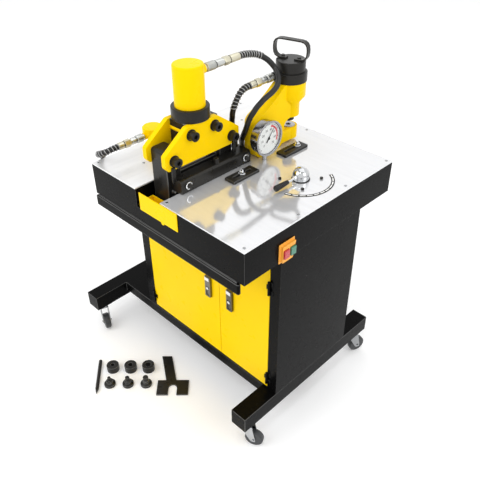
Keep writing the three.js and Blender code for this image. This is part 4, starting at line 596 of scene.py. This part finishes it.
def near(centre, places, reach):
    return any(math.hypot(centre.x - x, centre.y - y) < reach for x, y in places)


def raised(centre):
    return centre.z > TABLE_TOP + PLATE_SKIN


def is_hose_lip(centre):
    return raised(centre) and near(centre, HOSE_HOLES, HOSE_LIP_REACH)


def is_gasket(centre):
    return raised(centre) and near(centre, [VALVE_PLACE], GASKET_REACH)


def is_stud(centre):
    return raised(centre) and near(centre, STOP_STUDS, STUD_REACH)


def is_valve_screw(centre):
    close = near(centre, [VALVE_PLACE], VALVE_SCREW_REACH)
    return raised(centre) and close and not is_gasket(centre)


def is_plate_screw(centre):
    known = is_hose_lip(centre) or is_gasket(centre) or is_stud(centre) or is_valve_screw(centre)
    return raised(centre) and not known


def is_cutter_bolt(centre):
    return centre.x > CUTTER_BOLTS_ABOVE or centre.x < CUTTER_BOLTS_BELOW


def is_hinge(centre):
    return centre.y < HINGES_BEFORE


# Every node that has no finer piece of its own is shown in its own shape
CORNERS = ["front_left", "front_right", "back_right", "back_left"]
SPECIAL_LOOKS = {
    "table_plate_left": dict(look="brushed_sheet", paint=[("zinc", is_plate_screw)]),
    "table_plate_right": dict(paint=[
        ("zinc", is_plate_screw), ("dark_steel", is_valve_screw), ("rubber", is_hose_lip),
        ("rubber", is_gasket), ("chrome", is_stud),
    ], bevel=SMALL_BEVEL),
    "cutter_side_plate_right": dict(paint=[("dark_steel", is_cutter_bolt)]),
    "cutter_frame": dict(bevel=FRAME_BEVEL),
    "gauge_case": dict(look="bezel"),
    "front_rail": dict(bevel=RAIL_BEVEL),
    "latch_left": dict(look="nickel", bevel=SMALL_BEVEL),
    "latch_right": dict(look="nickel", bevel=SMALL_BEVEL),
    "stop_bar_front": dict(look="dark_steel"),
    "stop_bar_back": dict(look="dark_steel"),
    "door_left": dict(paint=[("black_paint", is_hinge)]),
    "door_right": dict(paint=[("black_paint", is_hinge)]),
}
for corner in CORNERS:
    SPECIAL_LOOKS[f"caster_fork_{corner}"] = dict(look="zinc", bevel=SMALL_BEVEL)
FINER_PIECES = ["gauge_dial", "gauge_needle", "selector_dome", "selector_grip", "selector_scale"]
FINER_PIECES += [f"hose_{name}" for name in HOSE_ROUTES]
FINER_PIECES += [f"coupler_{name}" for name in HOSE_ROUTES]


def dress_all():
    for node in body_of_node:
        if node not in FINER_PIECES:
            dressed(node, **SPECIAL_LOOKS.get(node, {}))


# Guide bar: bright washers under the heads of its two bolts, as (radius, height) from its face
GUIDE_BOLTS = [-0.230, -0.002]
GUIDE_BOLT_HEIGHT = 0.022
GUIDE_HEAD = 0.008
WASHER_RADIUS = 0.0115
WASHER_HOLE = 0.0086
WASHER_LEDGE = 0.001
WASHER_SEAT = 0.0003
WASHER_RIM = 0.0016
WASHER_TOP = 0.0024
WASHER_PROFILE = [
    (WASHER_HOLE, WASHER_SEAT), (WASHER_RADIUS, WASHER_SEAT), (WASHER_RADIUS, WASHER_RIM),
    (WASHER_HOLE + WASHER_LEDGE, WASHER_TOP), (WASHER_HOLE, WASHER_TOP),
]


def add_guide_washers():
    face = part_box("cutter_guide_bar")[1].x - GUIDE_HEAD
    z = TABLE_TOP + GUIDE_BOLT_HEIGHT
    for index, bolt in enumerate(GUIDE_BOLTS):
        y = at(0, bolt, 0).y
        shape = bmesh.new()
        loops = []
        for radius, lift in WASHER_PROFILE:
            loops.append([
                shape.verts.new((face + lift, y + radius * math.cos(a), z + radius * math.sin(a)))
                for a in round_angles(ROUND_STEPS)
            ])
        join_loops(shape, [*loops, loops[0]])
        washer = new_object(f"guide_washer_{index}", shape, finishes["chrome"])
        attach(washer, "machine")


# Latches: a bright cap and a push button on each
BUTTON_PROFILE = [
    (0, 0), (0.0055, 0), (0.0055, 0.0035), (0.0042, 0.0042), (0.0030, 0.0050), (0, 0.0053),
]
BUTTON_SEAT = 0.0035
BUTTON_SHARE = 0.42
CAP_SIZE = (0.019, 0.0012, 0.013)
CAP_PROUD = 0.0004
CAP_DROP = 0.010


def add_latch_details():
    for side in ("left", "right"):
        low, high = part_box(f"latch_{side}")
        middle = Vector(((low.x + high.x) / 2, low.y, low.z))
        height = high.z - low.z
        button = middle + Vector((0, BUTTON_SEAT, height * BUTTON_SHARE))
        turned_piece(f"latch_{side}_button", BUTTON_PROFILE, button, (0, -1, 0), finishes["chrome"],
                     f"{side}_latch", bevel=BUTTON_BEVEL)
        cap = bmesh.new()
        bmesh.ops.create_cube(cap, size=1)
        bmesh.ops.scale(cap, vec=CAP_SIZE, verts=cap.verts)
        spot = middle + Vector((0, -CAP_PROUD, height - CAP_DROP))
        bmesh.ops.translate(cap, vec=spot, verts=cap.verts)
        soften(cap, CAP_BEVEL)
        plate = new_object(f"latch_{side}_cap", cap, finishes["chrome"])
        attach(plate, f"{side}_latch")


# Gauge face: ticks, plain numbers, a red band and the glass. Angles go from the top towards +Y
DIAL_START = math.radians(-135)
DIAL_SWEEP = math.radians(270)
DIAL_NUMBERS = [0, 10, 20, 30, 40, 50, 60, 70]
TICKS_PER_NUMBER = 5
DIAL_RADIUS = 0.049
INK_HEIGHT = 0.00012
TICK_END = 0.0452
MAJOR_TICK = (0.0405, 0.016)
MINOR_TICK = (0.0425, 0.008)
TICK_RIM = (0.0448, 0.0454)
RED_SPAN = (math.radians(15), math.radians(115))
RED_WIDTH = (0.0355, 0.0410)
BAND_STEPS = 32
NUMBER_RADIUS = 0.0275
NUMBER_SIZE = 0.0105
GLASS_RECESS = 0.0018
GLASS_PROFILE = [(0, -0.0008), (0.0497, -0.0008), (0.0497, 0), (0.03, 0.0003), (0, 0.0005)]


def on_dial(angle, radius, centre):
    """A point on the dial's face."""
    return centre + Vector((0, radius * math.sin(angle), radius * math.cos(angle)))


def dial_band(shape, centre, start, end, inner, outer, steps=BAND_STEPS):
    corners = []
    for i in range(steps + 1):
        angle = start + (end - start) * i / steps
        corners.append([shape.verts.new(on_dial(angle, r, centre)) for r in (inner, outer)])
    for (a, b), (c, d) in zip(corners, corners[1:]):
        shape.faces.new((a, c, d, b))


def add_ink(name, shape, material):
    """Gives flat ink its thickness, outwards from the dial's face."""
    floor = min(v.co.x for v in shape.verts)
    shape.normal_update()
    bmesh.ops.solidify(shape, geom=shape.faces[:], thickness=INK_HEIGHT)
    sunk = floor - min(v.co.x for v in shape.verts)
    bmesh.ops.translate(shape, vec=(sunk, 0, 0), verts=shape.verts)
    piece = new_object(name, shape, material)
    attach(piece, "machine")


def add_number(text, place):
    data = bpy.data.curves.new(f"gauge_number_{text}", "FONT")
    data.body = text
    data.size = NUMBER_SIZE
    data.align_x = "CENTER"
    data.align_y = "CENTER"
    data.extrude = INK_HEIGHT / 2
    data.materials.append(finishes["black_ink"])
    piece = bpy.data.objects.new(f"gauge_number_{text}", data)
    facing_x = Matrix(((0, 0, 1), (1, 0, 0), (0, 1, 0))).to_4x4()
    piece.matrix_world = Matrix.Translation(place) @ facing_x
    bpy.context.collection.objects.link(piece)
    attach(piece, "machine")


def add_dial_ink(face):
    ticks = bmesh.new()
    count = (len(DIAL_NUMBERS) - 1) * TICKS_PER_NUMBER
    for i in range(count + 1):
        angle = DIAL_START + DIAL_SWEEP * i / count
        inner, half = MAJOR_TICK if i % TICKS_PER_NUMBER == 0 else MINOR_TICK
        dial_band(ticks, face, angle - half, angle + half, inner, TICK_END, steps=1)
    dial_band(ticks, face, DIAL_START, DIAL_START + DIAL_SWEEP, *TICK_RIM)
    add_ink("gauge_ticks", ticks, finishes["black_ink"])
    band = bmesh.new()
    dial_band(band, face, *RED_SPAN, *RED_WIDTH)
    add_ink("gauge_red_band", band, finishes["red_ink"])
    for i, number in enumerate(DIAL_NUMBERS):
        angle = DIAL_START + DIAL_SWEEP * i / (len(DIAL_NUMBERS) - 1)
        add_number(str(number), on_dial(angle, NUMBER_RADIUS, face))


# Needle, drawn at rest and about 10 degrees more upright than the photo shows it
NEEDLE_ANGLE = math.radians(38)
NEEDLE_LIFT = 0.0018
NEEDLE_THICKNESS = 0.0006
NEEDLE_OUTLINE = [
    (-0.0022, -0.015), (0.0022, -0.015), (0.0016, -0.006), (0.0013, 0.0), (0.0003, 0.038),
    (-0.0003, 0.038), (-0.0013, 0.0), (-0.0016, -0.006),
]
HUB_PROFILE = [(0, 0), (0.004, 0), (0.004, 0.0012), (0.0028, 0.0019), (0, 0.0021)]
HUB_STEPS = 32


def add_needle(centre):
    """A tapered pointer with a wide tail and a domed hub."""
    middle = centre + Vector((NEEDLE_LIFT, 0, 0))
    shape = bmesh.new()
    corners = []
    for u, v in NEEDLE_OUTLINE:
        y = u * math.cos(NEEDLE_ANGLE) + v * math.sin(NEEDLE_ANGLE)
        z = v * math.cos(NEEDLE_ANGLE) - u * math.sin(NEEDLE_ANGLE)
        corners.append(shape.verts.new(middle + Vector((0, y, z))))
    shape.faces.new(corners)
    shape.normal_update()
    bmesh.ops.solidify(shape, geom=shape.faces[:], thickness=NEEDLE_THICKNESS)
    hub = lathe(HUB_PROFILE, HUB_STEPS)
    place_along(hub, middle, (1, 0, 0))
    spare = bpy.data.meshes.new("needle_hub")
    hub.to_mesh(spare)
    hub.free()
    shape.from_mesh(spare)
    needle = new_object("gauge_needle_shown", shape, finishes["black_ink"])
    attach(needle, "needle")
    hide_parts("gauge_needle")


def add_gauge():
    low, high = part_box("gauge_dial")
    centre = Vector((high.x, (low.y + high.y) / 2, (low.z + high.z) / 2))
    depth = high.x - low.x
    profile = [(0, -depth), (DIAL_RADIUS, -depth), (DIAL_RADIUS, 0), (0, 0)]
    dial = turned_piece("gauge_dial_shown", profile, centre, (1, 0, 0), finishes["dial"],
                        bevel=TINY_BEVEL)
    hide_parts("gauge_dial")
    add_dial_ink(centre + Vector((INK_HEIGHT, 0, 0)))
    add_needle(centre)
    glass_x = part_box("gauge_case")[1].x - GLASS_RECESS
    turned_piece("gauge_glass", GLASS_PROFILE, Vector((glass_x, centre.y, centre.z)), (1, 0, 0),
                 finishes["glass"], bevel=GLASS_BEVEL)


# Selector: bright dome with its lever and ribbed grip
DOME_RADIUS = 0.025
DOME_SEAT = 0.0024
DOME_WALL = 0.013
DOME_STEPS = 16
GROOVE_DEPTH = 0.0009
GROOVE_HEIGHTS = (0.0065, 0.0071, 0.0081, 0.0087)
LEVER_RADIUS = 0.004
LEVER_ROOT = 0.004
LEVER_OVERLAP = 0.0015
BOSS_RADIUS = 0.0068
BOSS_LENGTH = 0.008
SHOULDER_RADIUS = 0.0055
SHOULDER_LENGTH = 0.010
GRIP_LIFT = 0.014
GRIP_START = 0.058
GRIP_END = 0.112
GRIP_STEPS = 40
GRIP_RIBS = 9
GRIP_THIN = 0.0066
GRIP_FLARE = 0.0026
GRIP_MARGIN = 0.008
RIB_START = 0.002
RIB_DEPTH = 0.0009
RIB_RISE = 0.0012
RIB_GAP = 0.0006
GRIP_FOOT = [(0, 0), (0.0062, 0)]
GRIP_TIP = [(0.0094, -0.005), (0.0088, -0.002), (0.006, 0), (0, 0)]


def add_dome():
    centre = at(*VALVE_PLACE, TABLE_TOP)
    groove_start, groove_low, groove_high, groove_end = GROOVE_HEIGHTS
    inside = DOME_RADIUS - GROOVE_DEPTH
    profile = [(0, DOME_SEAT), (DOME_RADIUS, DOME_SEAT), (DOME_RADIUS, groove_start),
               (inside, groove_low), (inside, groove_high), (DOME_RADIUS, groove_end)]
    for i in range(DOME_STEPS):
        angle = math.pi / 2 * i / DOME_STEPS
        profile.append((DOME_RADIUS * math.cos(angle), DOME_WALL + DOME_RADIUS * math.sin(angle)))
    profile.append((0, DOME_WALL + DOME_RADIUS))
    dome = turned_piece("selector_dome_shown", profile, centre, (0, 0, 1), finishes["bright_knob"],
                        "selector", bevel=TINY_BEVEL)
    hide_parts("selector_dome")
    start = DOME_RADIUS - LEVER_ROOT
    end = GRIP_START + LEVER_OVERLAP
    profile = [(0, start), (BOSS_RADIUS, start), (BOSS_RADIUS, start + BOSS_LENGTH),
               (SHOULDER_RADIUS, start + SHOULDER_LENGTH), (LEVER_RADIUS, start + SHOULDER_LENGTH),
               (LEVER_RADIUS, end), (0, end)]
    turned_piece("selector_lever", profile, centre + Vector((0, 0, GRIP_LIFT)), (0, -1, 0),
                 finishes["chrome"], "selector", bevel=THIN_BEVEL)


def add_grip():
    length = GRIP_END - GRIP_START
    pitch = (length - GRIP_MARGIN) / GRIP_RIBS
    profile = [*GRIP_FOOT]
    for i in range(GRIP_RIBS):
        start = RIB_START + i * pitch
        end = start + pitch - RIB_GAP
        radius = GRIP_THIN + GRIP_FLARE * i / (GRIP_RIBS - 1)
        profile += [(radius - RIB_DEPTH, start), (radius, start + RIB_RISE),
                    (radius, end - RIB_RISE), (radius - RIB_DEPTH, end)]
    profile += raised_by(length, GRIP_TIP)
    x, y = VALVE_PLACE
    root = at(x, y - GRIP_START, TABLE_TOP + GRIP_LIFT)
    grip = turned_piece("selector_grip_shown", profile, root, (0, -1, 0), finishes["rubber"],
                        body="selector", steps=GRIP_STEPS, bevel=THIN_BEVEL)
    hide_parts("selector_grip")


# Scale round the selector: a dark curved band with light cells
SCALE_INNER = 0.090
SCALE_OUTER = 0.098
SCALE_BORDER = 0.0013
SCALE_ARC = (math.radians(-78), math.radians(60))
SCALE_STEPS = 60
SCALE_HEIGHTS = (0.0, 0.0006)
SCALE_CELLS = 11
CELL_MARGIN = 0.1
CELL_INSET = 0.0024
CELL_STEPS = 6
CELL_HEIGHTS = (0.0005, 0.0008)


def arc_plate(shape, inner, outer, start, end, low, high, steps):
    """A flat curved bar on the table round the selector."""
    centre = at(*VALVE_PLACE, TABLE_TOP)
    section = ((inner, low), (outer, low), (outer, high), (inner, high))
    loops = []
    for i in range(steps + 1):
        angle = start + (end - start) * i / steps
        out = Vector((math.cos(angle), math.sin(angle), 0))
        loops.append([shape.verts.new(centre + out * radius + Vector((0, 0, height)))
                      for radius, height in section])
    join_loops(shape, loops)
    shape.faces.new(loops[0])
    shape.faces.new(loops[-1])


def add_scale():
    backing = bmesh.new()
    arc_plate(backing, SCALE_INNER - SCALE_BORDER, SCALE_OUTER + SCALE_BORDER, *SCALE_ARC,
              *SCALE_HEIGHTS, SCALE_STEPS)
    plate = new_object("selector_scale_shown", backing, finishes["black_ink"])
    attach(plate, "machine")
    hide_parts("selector_scale")
    cells = bmesh.new()
    step = (SCALE_ARC[1] - SCALE_ARC[0]) / SCALE_CELLS
    margin = step * CELL_MARGIN
    for i in range(SCALE_CELLS):
        start = SCALE_ARC[0] + i * step + margin
        arc_plate(cells, SCALE_INNER + CELL_INSET, SCALE_OUTER - CELL_INSET, start,
                  start + step - 2 * margin, *CELL_HEIGHTS, CELL_STEPS)
    light = new_object("selector_scale_cells", cells, finishes["dial"])
    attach(light, "machine")


add_camera()
add_floor()
add_sky()
add_lamps()
add_hoses()
dress_all()
add_guide_washers()
add_latch_details()
add_gauge()
add_dome()
add_grip()
add_scale()
